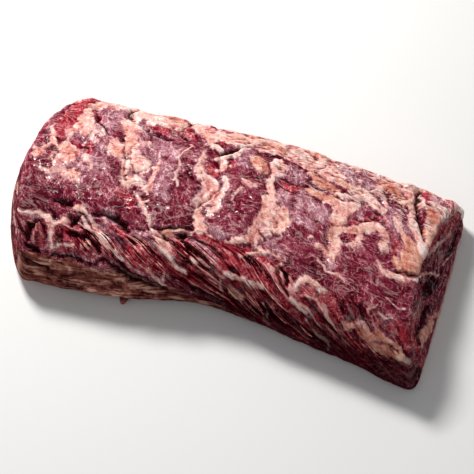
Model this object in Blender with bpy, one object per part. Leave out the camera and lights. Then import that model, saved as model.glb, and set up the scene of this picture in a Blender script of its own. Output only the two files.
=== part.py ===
"""Raw beef striploin, bone side up: a long slab of lean lying on its own fat cap.

The slab runs along X and its cut ends face -X and +X. The front side, at -Y, is the ragged
flank side. The back edge, at +Y, is lower and carries a rolled strip of fat. Everything below
is worked out in millimetres and written to the meshes in metres.

Marks on the surface are placed in surface coordinates. "Along" is the distance from the middle
of the slab towards +X. "Down" starts at the upper back edge, crosses the upper face to the
front shoulder at TOP_SPAN, and goes on down the front side to the foot.
"""
import bmesh
import bpy
import numpy as np
from mathutils import Vector
from mathutils import noise

MM = 0.001

# Body of the slab, before its relief. Rows run from the -X end to the +X end.
HALF_LENGTH = 200.0
TOP_SPAN = 190.0
FRONT_SPAN = 85.0
BACK_SPAN = 55.0
CENTRE_X = 14.0
CENTRE_Y = -8.0
FRONT_FOOT = (-104.0, -92.0, -70.5, -79.0, -91.0)
BACK_BELLY = (107.0, 112.5, 119.5, 116.0, 111.0)
FRONT_BELLY_IN = 2.0
SHOULDER_IN = 26.0
BACK_EDGE_IN = 8.0
BACK_FOOT_IN = 4.0
FRONT_HEIGHT = (70.0, 75.0, 76.0, 75.0, 70.0)
MIDDLE_HEIGHT = (73.0, 77.0, 77.0, 77.0, 73.0)
BACK_HEIGHT = (48.0, 50.0, 50.0, 49.0, 48.0)
TOP_ROWS = (FRONT_HEIGHT, MIDDLE_HEIGHT, BACK_HEIGHT)
CORNER_POWER = 5.0
FLOOR_CUT = 1.5

# Cut ends: where each meets the table at the front, the middle and the back, and how far it
# leans in towards the top. The rim of the +X end is tucked in further, by RIM_TUCK at its front,
# middle and back, over the part of the length that follows TUCK_FROM.
LEFT_END = (-188.5, -236.0, -209.5)
RIGHT_END = (208.5, 208.0, 206.0)
END_FROM_Y = -105.0
END_SPAN_Y = 210.0
END_OVERSHOOT = 0.1
LEFT_LEAN = 22.0
RIGHT_LEAN = 18.0
RIM_TUCK = (4.0, 16.0, 13.0)
TUCK_FROM = 0.82
LEAN_POWER = 1.6
LEAN_HEIGHT = 78.0
END_ROUND = 8.0
END_SHRINK = 80.0

# Fat cap: thickness under the lean and behind it, the height it reaches on the front side,
# and the width of the strip that it rolls onto the upper face.
CAP_UNDER = 10.0
CAP_BEHIND = 7.0
CAP_FRONT = 6.0
CAP_FRONT_TOP = (44.0, 52.0, 52.0, 44.0, 26.0, 15.0, 13.0, 14.0, 13.0)
CAP_STRIP = (8.0, 9.0, 24.0, 15.0, 12.0, 27.0, 24.0, 27.0, 34.0, 36.0, 30.0, 36.0, 30.0)
CAP_BEND_Z = 32.0
CAP_GAP = 0.5
CORE_CLEAR = 14.0

# Relief. A lobe is a pillow of lean between two rib prints: along, down, half width, half
# length, height.
LOBES = (
    (-128.0, 130.0, 26.0, 38.0, 4.0),
    (-50.0, 112.0, 21.0, 58.0, 4.5),
    (11.0, 130.0, 19.0, 42.0, 4.0),
    (80.0, 130.0, 18.0, 42.0, 4.0),
    (150.0, 160.0, 46.0, 30.0, 4.0),
    (140.0, 116.0, 12.0, 13.0, 2.5),
    (50.0, 52.0, 13.0, 14.0, 2.0),
)
LOBE_EDGE = 0.35
LOBE_POWER = 3.0

# A hollow is the same shape sunk in: along, down, half width, half length, depth.
HOLLOWS = (
    (50.0, 73.0, 15.0, 11.0, 4.5),
    (21.0, 80.0, 8.0, 16.0, 2.5),
    (-155.0, 158.0, 13.0, 7.0, 6.0),
    (-99.0, 171.0, 16.0, 9.0, 5.0),
    (-81.0, 189.0, 8.0, 10.0, 4.5),
    (-36.0, 181.0, 11.0, 11.0, 6.0),
    (-187.0, 196.0, 12.0, 12.0, 4.5),
    (68.0, 190.0, 8.0, 8.0, 4.0),
    (8.0, 196.0, 8.0, 5.0, 3.5),
    (-28.0, 86.0, 6.0, 15.0, 3.0),
    (115.0, 86.0, 5.0, 12.0, 4.0),
    (124.0, 84.0, 6.0, 7.0, 3.5),
    (-165.0, 73.0, 5.0, 12.0, 2.0),
    (180.0, 120.0, 14.0, 4.0, 4.0),
)

# Hollows of the +X end face: y, z, half width, half height, depth.
END_HOLLOWS = (
    (-38.0, 50.0, 30.0, 9.0, 4.0),
    (12.0, 42.0, 22.0, 12.0, 3.0),
)

# A nub of fat that sticks out at the foot of the front side, shaped as a lobe.
NUB = (-85.0, 271.0, 3.6, 8.0, 9.0)

# A gash is a cut or a crevice along a path: half width, depth, path. Its sides reach out to
# PATH_REACH times its half width.
PATH_REACH = 1.3
GASHES = (
    (4.0, 4.5, ((-144.0, -8.0), (-138.0, 15.0), (-128.0, 24.0), (-112.0, 30.0))),
    (4.5, 4.5, ((-110.0, 38.0), (-100.0, 42.0), (-80.0, 45.0))),
    (3.5, 3.5, ((-171.0, 8.0), (-158.0, 38.0), (-136.0, 58.0))),
    (7.0, 6.5, ((-8.0, 20.0), (-15.0, 28.0), (-22.0, 42.0), (-28.0, 57.0), (-38.0, 53.0))),
    (4.0, 5.5, ((58.0, 55.0), (66.0, 62.0), (77.0, 63.0), (82.0, 52.0))),
    (4.0, 3.5, ((88.0, 62.0), (103.0, 67.0), (111.0, 62.0))),
    (4.5, 5.5, ((156.0, -10.0), (161.0, 25.0), (165.0, 47.0), (178.0, 62.0), (188.0, 84.0))),
    (3.5, 3.0, ((192.0, 12.0), (190.0, 50.0), (187.0, 84.0))),
    (4.0, 3.5, ((152.0, 88.0), (158.0, 99.0), (164.0, 110.0))),
    (6.0, 6.0, ((-122.0, 165.0), (-100.0, 166.0), (-84.0, 176.0))),
    (4.5, 5.0, ((-64.0, 171.0), (-45.0, 168.0), (-26.0, 168.0))),
    (5.0, 5.0, ((-170.0, 210.0), (-112.0, 210.0), (-86.0, 218.0), (-60.0, 229.0), (-38.0, 240.0))),
    (4.0, 3.5, ((-85.0, -20.0), (-83.0, 5.0), (-84.0, 20.0))),
    (3.5, 3.0, ((40.0, 40.0), (30.0, 38.0), (22.0, 30.0))),
)

# A ridge is a raised sinew, seam or fold of fat along a path: half width, height, path.
RIDGES = (
    (8.0, 4.0, ((-134.0, 166.0), (-120.0, 184.0), (-98.0, 195.0), (-78.0, 206.0))),
    (5.5, 3.0, ((-88.0, 130.0), (-76.0, 152.0), (-62.0, 178.0), (-42.0, 203.0), (-24.0, 213.0))),
    (6.0, 3.5, ((-22.0, 200.0), (5.0, 209.0), (30.0, 206.0), (52.0, 212.0))),
    (7.0, 3.5, ((82.0, 192.0), (96.0, 185.0), (108.0, 192.0))),
    (6.5, 3.0, ((60.0, 211.0), (86.0, 207.0), (112.0, 217.0))),
    (7.0, 3.5, ((130.0, 209.0), (152.0, 203.0), (170.0, 206.0), (192.0, 212.0))),
    (5.0, 3.5, ((-200.0, 178.0), (-180.0, 174.0), (-167.0, 174.0), (-166.0, 200.0))),
    (5.0, 3.0, ((-164.0, 202.0), (-140.0, 198.0), (-120.0, 204.0))),
    (8.0, 3.0, ((66.0, 50.0), (78.0, 44.0), (100.0, 48.0), (120.0, 58.0), (132.0, 68.0))),
    (5.0, 2.5, ((-178.0, -5.0), (-172.0, 40.0), (-165.0, 95.0))),
    (5.0, 2.5, ((140.0, 30.0), (165.0, 60.0), (192.0, 105.0))),
)

# Shaggy strands that run slanting down the front side, from the shoulder to the fat cap.
STRAND_FROM = 176.0
STRAND_FADE = 14.0
STRAND_TO = (206.0, 208.0, 210.0, 222.0, 244.0, 252.0, 252.0, 252.0, 252.0)
STRAND_PITCH = 13.0
STRAND_HEIGHT = 1.7
STRAND_SLOPE = 0.55

STRAND_SWAY_SIZE = 52.0
STRAND_SWAY_SEED = 7.5

# Crumbly rolls of fat on the back edge, and the general unevenness of the hand-trimmed meat.
ROLL_SIZE = (17.0, 9.0)
ROLL_HEIGHT = 2.6
ROLL_FADE = (27.0, 45.0)
ROLL_SEED = 9.5
UNEVEN_SIZE = 26.0
UNEVEN_HEIGHT = 1.6
UNEVEN_SEED = 1.5
FINE_SIZE = 9.0
FINE_HEIGHT = 0.8
FINE_SEED = 4.5
END_RELIEF = 0.5
SKIRT_SPAN = 14.0

# Mesh density: cells along X, Y and Z before thinning, and the share of triangles kept.
BODY_CELLS = (132, 62, 26)
CORE_CELLS = (26, 8, 9)
KEPT_SHARE = 0.17
SMOOTH_ANGLE = 0.9
FLAT_SNAP = 0.4
EDGE_STEP = 1e-6

LEAN_COLOUR = (0.23, 0.025, 0.045, 1.0)
FAT_COLOUR = (0.72, 0.42, 0.30, 1.0)
LEAN_ROUGHNESS = 0.38
FAT_ROUGHNESS = 0.45


def read_row(row, place):
    """Value of an evenly spaced row at place 0 to 1, on a smooth curve through its numbers."""
    row = np.asarray(row, float)
    last = len(row) - 1
    step = np.clip((place * last).astype(int), 0, last - 1)
    f = place * last - step
    ends = np.concatenate([[2 * row[0] - row[1]], row, [2 * row[-1] - row[-2]]])
    a, b, c, d = (ends[step + i] for i in range(4))
    return b + 0.5 * f * (c - a + f * (2 * a - 5 * b + 4 * c - d + f * (3 * (b - c) + d - a)))


def through_three(first, middle, last, t):
    """Parabola through three values at t = 0, 0.5 and 1."""
    return first * (1 - t) * (1 - 2 * t) + middle * 4 * t * (1 - t) + last * t * (2 * t - 1)


def smooth_step(low, high, value):
    t = np.clip((value - low) / (high - low), 0.0, 1.0)
    return t * t * (3 - 2 * t)


def round_square(v, w):
    """Pull a square's points onto a superellipse, so that the section has round corners."""
    size = np.maximum(np.abs(v), np.abs(w))
    safe = np.where(size < EDGE_STEP, 1.0, size)
    ring = (np.abs(v) / safe) ** CORNER_POWER + (np.abs(w) / safe) ** CORNER_POWER
    pull = np.where(size < EDGE_STEP, 1.0, 1.0 / np.maximum(ring, EDGE_STEP) ** (1 / CORNER_POWER))
    return v * pull, w * pull


def section(place, v, w):
    """Y and Z of a point of the cross-section. v runs front to back, w runs foot to top."""
    v, w = round_square(v, w)
    t = (v + 1) / 2
    h = (w + 1) / 2
    top = through_three(*(read_row(row, place) for row in TOP_ROWS), t)
    foot = read_row(FRONT_FOOT, place)
    belly = read_row(BACK_BELLY, place)
    front = through_three(foot, foot + FRONT_BELLY_IN, foot + SHOULDER_IN, h)
    back = through_three(belly - BACK_FOOT_IN, belly, belly - BACK_EDGE_IN, h)
    return front * (1 - t) + back * t, h * top


def end_rise(y, z):
    """Place of a point from the front to the back of an end face, and its share of the lean."""
    t = np.clip((y - END_FROM_Y) / END_SPAN_Y, -END_OVERSHOOT, 1 + END_OVERSHOOT)
    return t, (np.maximum(z, 0.0) / LEAN_HEIGHT) ** LEAN_POWER


def end_planes(y, z):
    """X of the two cut ends at a point of the section."""
    t, rise = end_rise(y, z)
    left = through_three(*LEFT_END, t) + LEFT_LEAN * rise
    right = through_three(*RIGHT_END, t) - RIGHT_LEAN * rise
    return left, right


def rim_tuck(place, y, z):
    """How far a point near the +X end is drawn in with the rim."""
    t, rise = end_rise(y, z)
    return through_three(*RIM_TUCK, t) * rise * smooth_step(TUCK_FROM, 1.0, place)


def slab_point(u, v, w):
    """Place a point of the block u, v, w in -1 to 1 on the slab, without relief."""
    from_end = (1 - np.abs(u)) * HALF_LENGTH
    near = np.clip(1 - from_end / END_ROUND, 0.0, 1.0)
    shrink = 1 - (END_ROUND / END_SHRINK) * (1 - np.sqrt(1 - near * near))
    place = (u + 1) / 2
    y, z = section(place, v * shrink, w * shrink)
    left, right = end_planes(y, z)
    x = left * (1 - place) + right * place - rim_tuck(place, y, z)
    return x + CENTRE_X, y + CENTRE_Y, np.maximum(z - FLOOR_CUT, 0.0)


def surface_marks(u, v, w):
    """Surface coordinates of the block's points, and how much of the relief each takes. Marks
    keep their place on the slab where the rim is tucked in."""
    place = (u + 1) / 2
    along = u * HALF_LENGTH - rim_tuck(place, *section(place, v, w))
    on_top = (1 - v) / 2 * TOP_SPAN
    on_front = TOP_SPAN + (1 - w) / 2 * FRONT_SPAN
    on_back = -(1 - w) / 2 * BACK_SPAN
    is_front = v < -1 + EDGE_STEP
    is_back = v > 1 - EDGE_STEP
    down = np.where(is_front, on_front, np.where(is_back, on_back, on_top))
    skirt = smooth_step(-1.0, -1.0 + 2 * SKIRT_SPAN / FRONT_SPAN, w)
    is_end = np.abs(u) > 1 - EDGE_STEP
    return along, down, skirt * np.where(is_end, END_RELIEF, 1.0)


def pillow(along, down, patch):
    """Smooth flat-topped rise of height 1 over one patch."""
    centre_along, centre_down, half_width, half_length = patch[:4]
    a = np.abs(along - centre_along) / half_width
    d = np.abs(down - centre_down) / half_length
    ring = (a ** LOBE_POWER + d ** LOBE_POWER) ** (1 / LOBE_POWER)
    return 1 - smooth_step(1 - LOBE_EDGE, 1 + LOBE_EDGE, ring)


def path_distance(along, down, path):
    """Distance of each point from a path of straight runs."""
    nearest = np.full(along.shape, np.inf)
    for (a0, d0), (a1, d1) in zip(path, path[1:]):
        run_a, run_d = a1 - a0, d1 - d0
        share = ((along - a0) * run_a + (down - d0) * run_d) / (run_a ** 2 + run_d ** 2)
        share = np.clip(share, 0.0, 1.0)
        nearest = np.minimum(nearest, np.hypot(along - a0 - share * run_a, down - d0 - share * run_d))
    return nearest


def path_profile(along, down, half_width, path):
    """Smooth bank of height 1 along a path."""
    return 1 - smooth_step(0.0, half_width * PATH_REACH, path_distance(along, down, path))


def noise_field(along, down, size_along, size_down, seed):
    """Smooth noise, about -1 to 1, with lumps of the given sizes."""
    points = zip(along / size_along, down / size_down)
    return np.array([noise.noise(Vector((a, d, seed))) for a, d in points])


def strands(along, down):
    """Rounded diagonal cords of meat on the front side."""
    sway = noise_field(along, down, STRAND_SWAY_SIZE, STRAND_SWAY_SIZE, STRAND_SWAY_SEED)
    across = (down - STRAND_SLOPE * along) / STRAND_PITCH + sway
    lowest = read_row(STRAND_TO, (along / HALF_LENGTH + 1) / 2)
    inside = smooth_step(STRAND_FROM, STRAND_FROM + STRAND_FADE, down)
    inside = inside * (1 - smooth_step(lowest - STRAND_FADE, lowest, down))
    return STRAND_HEIGHT * inside * (2 * np.abs(np.sin(np.pi * across)) - 1)


def relief(along, down):
    """Height of the surface above the smooth slab."""
    height = UNEVEN_HEIGHT * noise_field(along, down, UNEVEN_SIZE, UNEVEN_SIZE, UNEVEN_SEED)
    height += FINE_HEIGHT * noise_field(along, down, FINE_SIZE, FINE_SIZE, FINE_SEED)
    for lobe in LOBES:
        height += lobe[4] * pillow(along, down, lobe)
    for hollow in HOLLOWS:
        height -= hollow[4] * pillow(along, down, hollow)
    for half_width, rise, path in RIDGES:
        height += rise * path_profile(along, down, half_width, path)
    for half_width, depth, path in GASHES:
        height -= depth * path_profile(along, down, half_width, path)
    rolls = 1 - smooth_step(*ROLL_FADE, down)
    height += ROLL_HEIGHT * rolls * noise_field(along, down, *ROLL_SIZE, ROLL_SEED)
    return height + strands(along, down)


def end_relief(u, points):
    """Height of the +X end face above its smooth shape, and nothing elsewhere."""
    height = np.zeros(len(points))
    is_end = u > 1 - EDGE_STEP
    for hollow in END_HOLLOWS:
        height[is_end] -= hollow[4] * pillow(points[is_end, 1], points[is_end, 2], hollow)
    return height


def divided_block(name, cells):
    """A closed box from -1 to 1 on each axis, divided into cells."""
    bm = bmesh.new()
    bmesh.ops.create_cube(bm, size=2.0)
    for axis, count in enumerate(cells):
        edges = [e for e in bm.edges if abs(e.verts[0].co[axis] - e.verts[1].co[axis]) > EDGE_STEP]
        bmesh.ops.subdivide_edges(bm, edges=edges, cuts=count - 1, use_grid_fill=True)
    bmesh.ops.triangulate(bm, faces=bm.faces)
    mesh = bpy.data.meshes.new(name)
    bm.to_mesh(mesh)
    bm.free()
    return mesh


def read_points(mesh):
    flat = np.empty(len(mesh.vertices) * 3)
    mesh.vertices.foreach_get("co", flat)
    return flat.reshape(-1, 3)


def write_points(mesh, points):
    mesh.vertices.foreach_set("co", np.asarray(points, float).ravel())
    mesh.update()


def read_normals(mesh):
    flat = np.empty(len(mesh.vertices) * 3)
    mesh.vertex_normals.foreach_get("vector", flat)
    return flat.reshape(-1, 3)


def add_object(name, mesh):
    piece = bpy.data.objects.new(name, mesh)
    bpy.context.scene.collection.objects.link(piece)
    return piece


def evaluated_mesh(piece, name):
    """The object's mesh with its modifiers worked in."""
    bpy.context.view_layer.update()
    depsgraph = bpy.context.evaluated_depsgraph_get()
    mesh = bpy.data.meshes.new_from_object(piece.evaluated_get(depsgraph))
    mesh.name = name
    return mesh


def make_whole():
    """The whole piece of meat, lean and fat together, with its relief and a flat foot."""
    mesh = divided_block("whole", BODY_CELLS)
    u, v, w = read_points(mesh).T
    points = np.stack(slab_point(u, v, w), -1)
    write_points(mesh, points)
    along, down, share = surface_marks(u, v, w)
    height = relief(along, down) * share + end_relief(u, points)
    points = points + read_normals(mesh) * height[:, None]
    points[:, 1] -= NUB[4] * pillow(along, down, NUB)
    write_points(mesh, points * MM)
    whole = add_object("whole", mesh)
    thin = whole.modifiers.new("thin", "DECIMATE")
    thin.ratio = KEPT_SHARE
    thinned = evaluated_mesh(whole, "whole_thin")
    bpy.data.objects.remove(whole)
    points = read_points(thinned)
    points[:, 2] = np.where(points[:, 2] < FLAT_SNAP * MM, 0.0, points[:, 2])
    write_points(thinned, points)
    return add_object("whole", thinned)


def core_point(u, v, w):
    """Place a block point on the body inside the fat cap, which reaches out past the lean's
    free faces."""
    place = (u + 1) / 2
    x = u * (HALF_LENGTH + 4 * CORE_CLEAR) + CENTRE_X
    z = CAP_UNDER + (w + 1) / 2 * (LEAN_HEIGHT + 2 * CORE_CLEAR - CAP_UNDER)
    foot = read_row(FRONT_FOOT, place)
    belly = read_row(BACK_BELLY, place)
    h = np.clip(z / LEAN_HEIGHT, 0.0, 1.0)
    front_skin = through_three(foot, foot + FRONT_BELLY_IN, foot + SHOULDER_IN, h)
    edge = read_row(CAP_FRONT_TOP, place)
    out = smooth_step(edge - CAP_FRONT, edge + CAP_FRONT, z)
    front = front_skin + CAP_FRONT - out * (CAP_FRONT + CORE_CLEAR)
    strip = read_row(CAP_STRIP, place)
    crossing = through_three(*(read_row(row, place) for row in TOP_ROWS), 1 - strip / TOP_SPAN)
    lean_in = (strip - CAP_BEHIND) / (crossing - CAP_BEND_Z)
    back = belly - BACK_EDGE_IN - CAP_BEHIND - lean_in * np.maximum(z - CAP_BEND_Z, 0.0)
    t = (v + 1) / 2
    return x, front * (1 - t) + back * t + CENTRE_Y, z


def make_core(name, gap):
    """The body inside the fat cap, with its faces moved outwards by the gap."""
    mesh = divided_block(name, CORE_CELLS)
    u, v, w = read_points(mesh).T
    points = np.stack(core_point(u, v, w), -1)
    write_points(mesh, points)
    points = points + gap * read_normals(mesh)
    write_points(mesh, points * MM)
    return add_object(name, mesh)


def cut_by_core(whole, core, operation, name):
    """One part of the whole: what lies inside the core, or what lies outside it."""
    piece = add_object(name, whole.data.copy())
    cut = piece.modifiers.new("cut", "BOOLEAN")
    cut.object = core
    cut.operation = operation
    cut.solver = "EXACT"
    mesh = evaluated_mesh(piece, name)
    bpy.data.objects.remove(piece)
    mesh.shade_smooth()
    mesh.set_sharp_from_angle(angle=SMOOTH_ANGLE)
    return add_object(name, mesh)


def make_material(name, colour, roughness):
    material = bpy.data.materials.new(name)
    material.use_nodes = True
    shader = material.node_tree.nodes["Principled BSDF"]
    shader.inputs["Base Color"].default_value = colour
    shader.inputs["Roughness"].default_value = roughness
    shader.inputs["Metallic"].default_value = 0.0
    return material


def make_striploin():
    for leftover in list(bpy.data.objects):
        bpy.data.objects.remove(leftover)
    whole = make_whole()
    inner = make_core("lean_core", 0.0)
    outer = make_core("cap_core", CAP_GAP)
    lean = cut_by_core(whole, inner, "INTERSECT", "lean")
    cap = cut_by_core(whole, outer, "DIFFERENCE", "fat_cap")
    for helper in (whole, inner, outer):
        bpy.data.objects.remove(helper)
    lean.data.materials.clear()
    lean.data.materials.append(make_material("lean_meat", LEAN_COLOUR, LEAN_ROUGHNESS))
    cap.data.materials.clear()
    cap.data.materials.append(make_material("beef_fat", FAT_COLOUR, FAT_ROUGHNESS))


make_striploin()
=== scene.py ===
"""Looks of the raw beef striploin: moist dark lean with silverskin and bands of fat, over a fat cap.

Shapes are worked out in millimetres, on the same smooth slab as the solids, and cut into lean and
fat cap by the same inner body. Marks on the surface are placed in surface coordinates. "Along" is
the distance from the middle of the slab towards +X. "Down" starts at the upper back edge, crosses
the upper face to the front shoulder at TOP_SPAN, and goes on down the front side to the foot. On
the back face it is less than zero.
"""

import math
import random
from types import SimpleNamespace

import bmesh
import bpy
import numpy as np
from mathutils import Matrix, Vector
from mathutils import noise


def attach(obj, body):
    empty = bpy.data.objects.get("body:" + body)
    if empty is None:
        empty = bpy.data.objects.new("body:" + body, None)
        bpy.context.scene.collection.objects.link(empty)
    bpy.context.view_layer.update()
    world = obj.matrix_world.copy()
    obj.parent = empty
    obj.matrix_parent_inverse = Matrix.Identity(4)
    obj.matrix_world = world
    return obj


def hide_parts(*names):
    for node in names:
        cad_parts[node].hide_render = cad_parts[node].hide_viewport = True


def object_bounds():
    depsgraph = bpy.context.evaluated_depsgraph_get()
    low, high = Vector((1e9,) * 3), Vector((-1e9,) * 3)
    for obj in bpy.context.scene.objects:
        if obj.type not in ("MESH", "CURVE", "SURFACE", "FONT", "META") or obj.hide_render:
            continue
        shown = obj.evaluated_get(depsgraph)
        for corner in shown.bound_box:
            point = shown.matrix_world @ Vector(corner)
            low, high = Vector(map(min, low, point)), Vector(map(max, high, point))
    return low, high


MM = 0.001
# The smallest difference that counts.
TINY = 1e-6

# ---------------------------------------------------------------- the smooth slab
# A row holds evenly spaced values from the -X end to the +X end.
HALF_LENGTH = 200.0
# Widths of the upper face, the front side and the back face, measured over the surface.
TOP_SPAN = 190.0
FRONT_SPAN = 85.0
BACK_SPAN = 55.0
CENTRE_X = 14.0
CENTRE_Y = -8.0
# Y of the foot of the front side, and of the back face where it bulges most.
FRONT_FOOT = (-104.0, -92.0, -70.5, -79.0, -91.0)
BACK_BELLY = (107.0, 112.5, 119.5, 116.0, 111.0)
FRONT_BELLY_IN = 2.0
SHOULDER_IN = 26.0
BACK_EDGE_IN = 8.0
BACK_FOOT_IN = 4.0
FRONT_HEIGHT = (70.0, 75.0, 76.0, 75.0, 70.0)
MIDDLE_HEIGHT = (73.0, 77.0, 77.0, 77.0, 73.0)
BACK_HEIGHT = (48.0, 50.0, 50.0, 49.0, 48.0)
TOP_ROWS = (FRONT_HEIGHT, MIDDLE_HEIGHT, BACK_HEIGHT)
CORNER_POWER = 5.0
FLOOR_CUT = 1.5
# X of the two cut ends at their front, middle and back, and how far their tops lean inwards.
LEFT_END = (-188.5, -236.0, -209.5)
RIGHT_END = (208.5, 208.0, 206.0)
END_FROM_Y = -105.0
END_SPAN_Y = 210.0
END_OVERSHOOT = 0.1
LEFT_LEAN = 22.0
RIGHT_LEAN = 18.0
LEAN_POWER = 1.6
LEAN_HEIGHT = 78.0
# How far the upper rim of the +X end is drawn in at its front, middle and back.
RIM_TUCK = (4.0, 16.0, 13.0)
TUCK_FROM = 0.82
END_ROUND = 8.0
END_SHRINK = 80.0
# The nub on the fat cap's front edge: along, down, half width, half height.
NUB = (-85.0, 271.0, 3.6, 8.0)
NUB_REACH = 9.0
# Hollows of the +X end face: y, z, half width, half height, depth.
END_HOLLOWS = (
    (-38.0, 50.0, 30.0, 9.0, 4.0),
    (12.0, 42.0, 22.0, 12.0, 3.0),
)

# The fat cap: its thickness under, behind and in front of the lean, the height it reaches on the
# front side, and the width of the strip that it rolls onto the upper face.
CAP_UNDER = 10.0
CAP_BEHIND = 7.0
CAP_FRONT = 6.0
CAP_FRONT_TOP = (44.0, 52.0, 52.0, 44.0, 26.0, 15.0, 13.0, 14.0, 13.0)
CAP_STRIP = (8.0, 9.0, 24.0, 15.0, 12.0, 27.0, 24.0, 27.0, 34.0, 36.0, 30.0, 36.0, 30.0)
CAP_BEND_Z = 32.0
CAP_GAP = 0.1
# The inner body reaches this far out of the lean's free faces. Its edges wander on small lumps.
CORE_CLEAR = 14.0
EDGE_WANDER = 3.0
EDGE_LUMP = 11.0

# Cells of the meshes along, across and up, and the angle from which an edge stays sharp.
LEAN_CELLS = (360, 168, 62)
CAP_CELLS = (300, 138, 54)
CORE_CELLS = (120, 8, 16)
SMOOTH_ANGLE = 1.1

# ---------------------------------------------------------------- marks on the surface
# A mark is a path of points: along, down, half width.
WHITE_FAT = (
    ((-168, 38, 4), (-164, 50, 5), (-162, 60, 5), (-160, 68, 3)),
    ((-157, 48, 1), (-152, 60, 2), (-150, 72, 1.5), (-152, 80, 1)),
    ((-146, 52, 0.8), (-143, 64, 1.5), (-142, 76, 0.8)),
    ((-147, 95, 1.5), (-144, 103, 3), (-146, 110, 1.5)),
    ((-138, 104, 0.8), (-134, 112, 1.5), (-136, 118, 0.8)),
    ((-107, 95, 4), (-104, 108, 4)),
    ((-100, 92, 4), (-92, 86, 4)),
    ((-106, 60, 3), (-103, 74, 4), (-100, 84, 6), (-94, 92, 9), (-88, 98, 6)),
    ((-98, 114, 4), (-92, 116, 7), (-84, 119, 5)),
    ((-77, 95, 3), (-76, 110, 3), (-77, 126, 4)),
    ((-46, 43, 3), (-40, 46, 6), (-34, 50, 3)),
    ((-12, 32, 2), (-17, 45, 2.5), (-25, 60, 2.5), (-30, 68, 3.5)),
    ((-24, 64, 2.5), (-20, 72, 3.5), (-22, 82, 2.5)),
    ((-43, 74, 3), (-40, 82, 4), (-36, 92, 4), (-31, 102, 3)),
    ((-27, 98, 3), (-22, 108, 7), (-18, 118, 8)),
    ((-12, 92, 3), (-8, 102, 4), (-8, 118, 3), (-12, 132, 3)),
    ((30, -4, 5), (34, 6, 5), (37, 16, 4)),
    ((58, 8, 6), (66, 14, 7), (72, 22, 4)),
    ((28, 78, 2), (32, 90, 3), (35, 100, 4), (38, 110, 4.5)),
    ((22, 42, 5), (28, 52, 7), (32, 63, 5)),
    ((98, 80, 5), (105, 84, 8), (104, 94, 8), (101, 101, 5)),
    ((134, 40, 3), (136, 50, 3), (134, 60, 3)),
    ((142, -4, 5), (149, 8, 7), (155, 22, 5)),
    ((149, 55, 2), (155, 66, 3.5), (160, 78, 2)),
    ((160, 50, 3), (170, 62, 4.5), (178, 75, 4.5), (185, 88, 4.5), (190, 100, 3)),
    ((-127, 166, 1.5), (-123, 174, 2.5), (-117, 183, 3), (-108, 191, 2.5), (-97, 198, 2.5),
     (-84, 205, 1.5)),
    ((172, 14, 4), (178, 22, 4)),
)
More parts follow.
